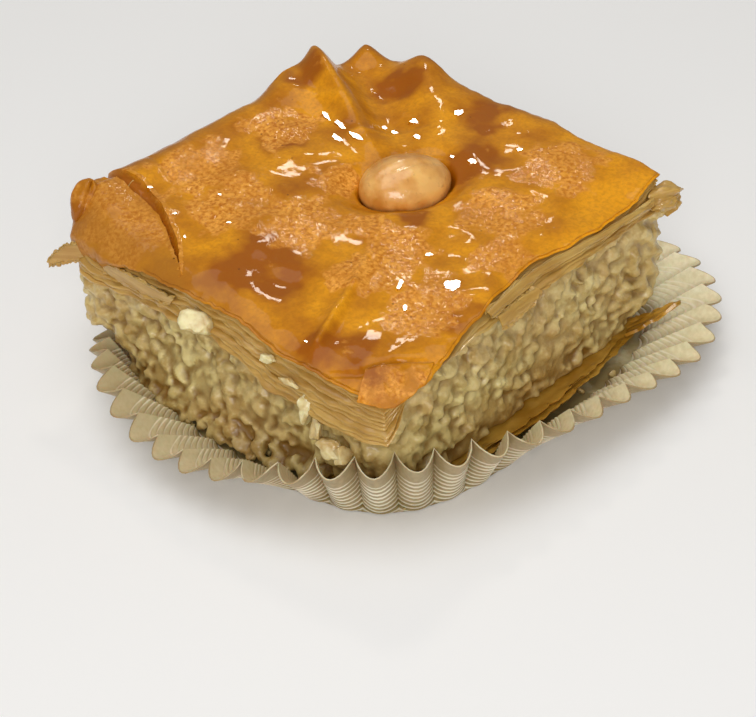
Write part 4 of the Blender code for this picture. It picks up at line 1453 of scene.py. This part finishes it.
def syrup_pool(number, x, y, half_along, half_across, turned):
    """A flat pool with a wavy outline, whose rim dips under the skin. It lies where a glint shows."""
    middle = skin_level(x, y) + POOL_PROUD
    slope_x, slope_y = mirror_slopes(Vector((x, y, middle)))
    turned = math.radians(turned)

    def place(u, v):
        reach = max(abs(u), abs(v))
        angle = math.atan2(v, u)
        way_x, way_y = math.cos(angle), math.sin(angle)
        wavy = 0.60 * cloud(way_x, way_y, number, 0.6) + 0.25 * cloud(way_x, way_y, number, 0.2)
        edge = reach * (1 + wavy)
        along, across = way_x * edge * half_along, way_y * edge * half_across
        dx = along * math.cos(turned) - across * math.sin(turned)
        dy = along * math.sin(turned) + across * math.cos(turned)
        dips = 0.0008 * smooth((reach - 0.75) / 0.25)
        return Vector((x + dx, y + dy, middle + slope_x * dx + slope_y * dy - dips))

    pool = laid_grid(f"syrup_pool_{number}", 16, place)
    shade(pool, 60)
    return pool


def join_pieces(name, pieces):
    deselect_all()
    for piece in pieces:
        piece.select_set(True)
    bpy.context.view_layer.objects.active = pieces[0]
    bpy.ops.object.join()
    pieces[0].name = name
    return pieces[0]


def syrup_finish():
    recipe = Recipe("pooled_syrup", 0.05, Coat_Weight=1.0, Coat_Roughness=0.03)
    colour = recipe.blend(recipe.noise(0.0006), srgb(196, 122, 14), srgb(176, 100, 8))
    return recipe.finish(colour=colour)


pools = [syrup_pool(number, *pool) for number, pool in enumerate(SYRUP_POOLS)]
syrup_pools = join_pieces("syrup_pools", pools)
finish_piece(syrup_pools, syrup_finish(), "glazed_phyllo", "top_phyllo")

# %% [markdown]
# ## The nut on top
#
# One blanched nut is pressed point down into the skin. It is a ball drawn out and blunted, with
# the shallow grooves of a real kernel.

# %% The blanched nut


def make_top_nut():
    deselect_all()
    bpy.ops.mesh.primitive_uv_sphere_add(segments=96, ring_count=64, radius=1.0)
    nut = bpy.context.object
    nut.name = "blanched_nut"
    turn = Matrix.Rotation(NUT_TURN, 3, "Z")
    for vert in nut.data.vertices:
        x, y, z = vert.co
        lumps = 1 + 0.035 * cloud(x, y, z, 0.7) + 0.012 * cloud(x, y, z, 0.22)
        lumps -= 0.03 * bell(math.atan2(z, y), 1.9, 0.12) * max(0.0, 1 - x * x)
        blunt = 1 - 0.10 * x
        shaped = Vector((x * NUT_HALF.x, y * blunt * NUT_HALF.y, z * blunt * NUT_HALF.z)) * lumps
        vert.co = NUT_CENTRE + turn @ shaped
    shade(nut, 80)
    return nut


def nut_finish():
    recipe = Recipe("roasted_blanched_nut", 0.35, Coat_Weight=0.9, Coat_Roughness=0.06,
                    Subsurface_Weight=0.25, Subsurface_Scale=0.002, Subsurface_Radius=(1.0, 0.6, 0.3))
    broad = recipe.noise(0.004, 4.0)
    fine = recipe.noise(0.0008, 5.0)
    colour = recipe.blend(recipe.range(broad, 0.35, 0.65), srgb(214, 146, 60), srgb(250, 196, 112))
    colour = recipe.blend(recipe.range(fine, 0.60, 0.76, 0.0, 0.40), colour, srgb(166, 106, 40))
    wrinkled = recipe.bump(recipe.noise(0.0026, 5.0, distortion=0.6), 0.00035, 0.8)
    return recipe.finish(colour=colour, normal=recipe.bump(fine, 0.00015, 0.5), coat_normal=wrinkled)


finish_piece(make_top_nut(), nut_finish(), "blanched_nut", "top_nut")

# %% [markdown]
# ## Bits that stick to the outside
#
# A few whole bits of chopped nut lie on the cut side under the skin, torn shreds hang down over
# the filling at the front, and pale crumbs of the layers cling to the right corner. Each is a
# small piece of its own, placed where the picture shows it.

# %% Stuck nut bits and crumbs
# Each bit has its centre, its half sizes and, on nut, how pale it is.
STUCK_BITS = (
    ((-0.0034, -0.0330, 0.0206), (0.0033, 0.0020, 0.0025), 0.8),
    ((0.0104, -0.0328, 0.0204), (0.0014, 0.0010, 0.0013), 0.9),
    ((0.0146, -0.0328, 0.0186), (0.0019, 0.0008, 0.0012), 0.5),
    ((0.0174, -0.0322, 0.0150), (0.0011, 0.0015, 0.0020), 0.7),
    ((0.0190, -0.0322, 0.0126), (0.0013, 0.0017, 0.0019), 0.6),
    ((0.0214, -0.0324, 0.0108), (0.0021, 0.0019, 0.0015), 0.5),
    ((0.0240, -0.0326, 0.0102), (0.0018, 0.0019, 0.0014), 0.4),
)
LAYER_CRUMBS = (
    ((0.0312, 0.0300, 0.0240), (0.0026, 0.0030, 0.0013)),
    ((0.0318, 0.0312, 0.0222), (0.0022, 0.0024, 0.0016)),
    ((0.0306, 0.0322, 0.0230), (0.0022, 0.0018, 0.0012)),
    ((0.0322, 0.0286, 0.0232), (0.0014, 0.0028, 0.0010)),
)
FIRST_BIT_SEED = 40


def stuck_bit(number, centre, half):
    """A chopped nut with more faces and a wavy surface, drawn out to its half sizes."""
    points, faces = chopped_nut(FIRST_BIT_SEED + number, detail=4)
    shift = Vector((number, 0, 0))
    wavy = np.array([1 + 0.30 * noise.noise(Vector(point) * 1.7 + shift)
                     + 0.10 * noise.noise(Vector(point) * 4 + shift) for point in points])
    placed = points * wavy[:, None] * np.array(half) + np.array(centre)
    mesh = bpy.data.meshes.new("nut_bit")
    mesh.from_pydata(placed.tolist(), [], faces.tolist())
    bit = bpy.data.objects.new(f"nut_bit_{number}", mesh)
    bpy.context.collection.objects.link(bit)
    shade(bit, 60)
    return bit


def bit_finish():
    recipe = Recipe("pale_nut_bit", 0.35, Coat_Weight=0.5, Coat_Roughness=0.10, Subsurface_Weight=0.4,
                    Subsurface_Scale=0.0015, Subsurface_Radius=(1.0, 0.8, 0.45))
    fine = recipe.noise(0.0016, 5.0)
    shade_of_nut = recipe.sum(recipe.attribute("tone"), recipe.range(fine, 0.35, 0.65, -0.3, 0.3))
    colour = recipe.blend(recipe.range(shade_of_nut, 0.0, 1.0), srgb(190, 150, 78), srgb(240, 228, 176))
    return recipe.finish(colour=colour, normal=recipe.bump(fine, 0.00020, 0.6))


bit_material = bit_finish()
for number, (centre, half, tone) in enumerate(STUCK_BITS):
    bit = stuck_bit(number, centre, half)
    tint(bit, tone=tone)
    finish_piece(bit, bit_material, "chopped_nuts", "top_phyllo")
for number, (centre, half) in enumerate(LAYER_CRUMBS, len(STUCK_BITS)):
    finish_piece(stuck_bit(number, centre, half), pale, "glazed_phyllo", "top_phyllo")
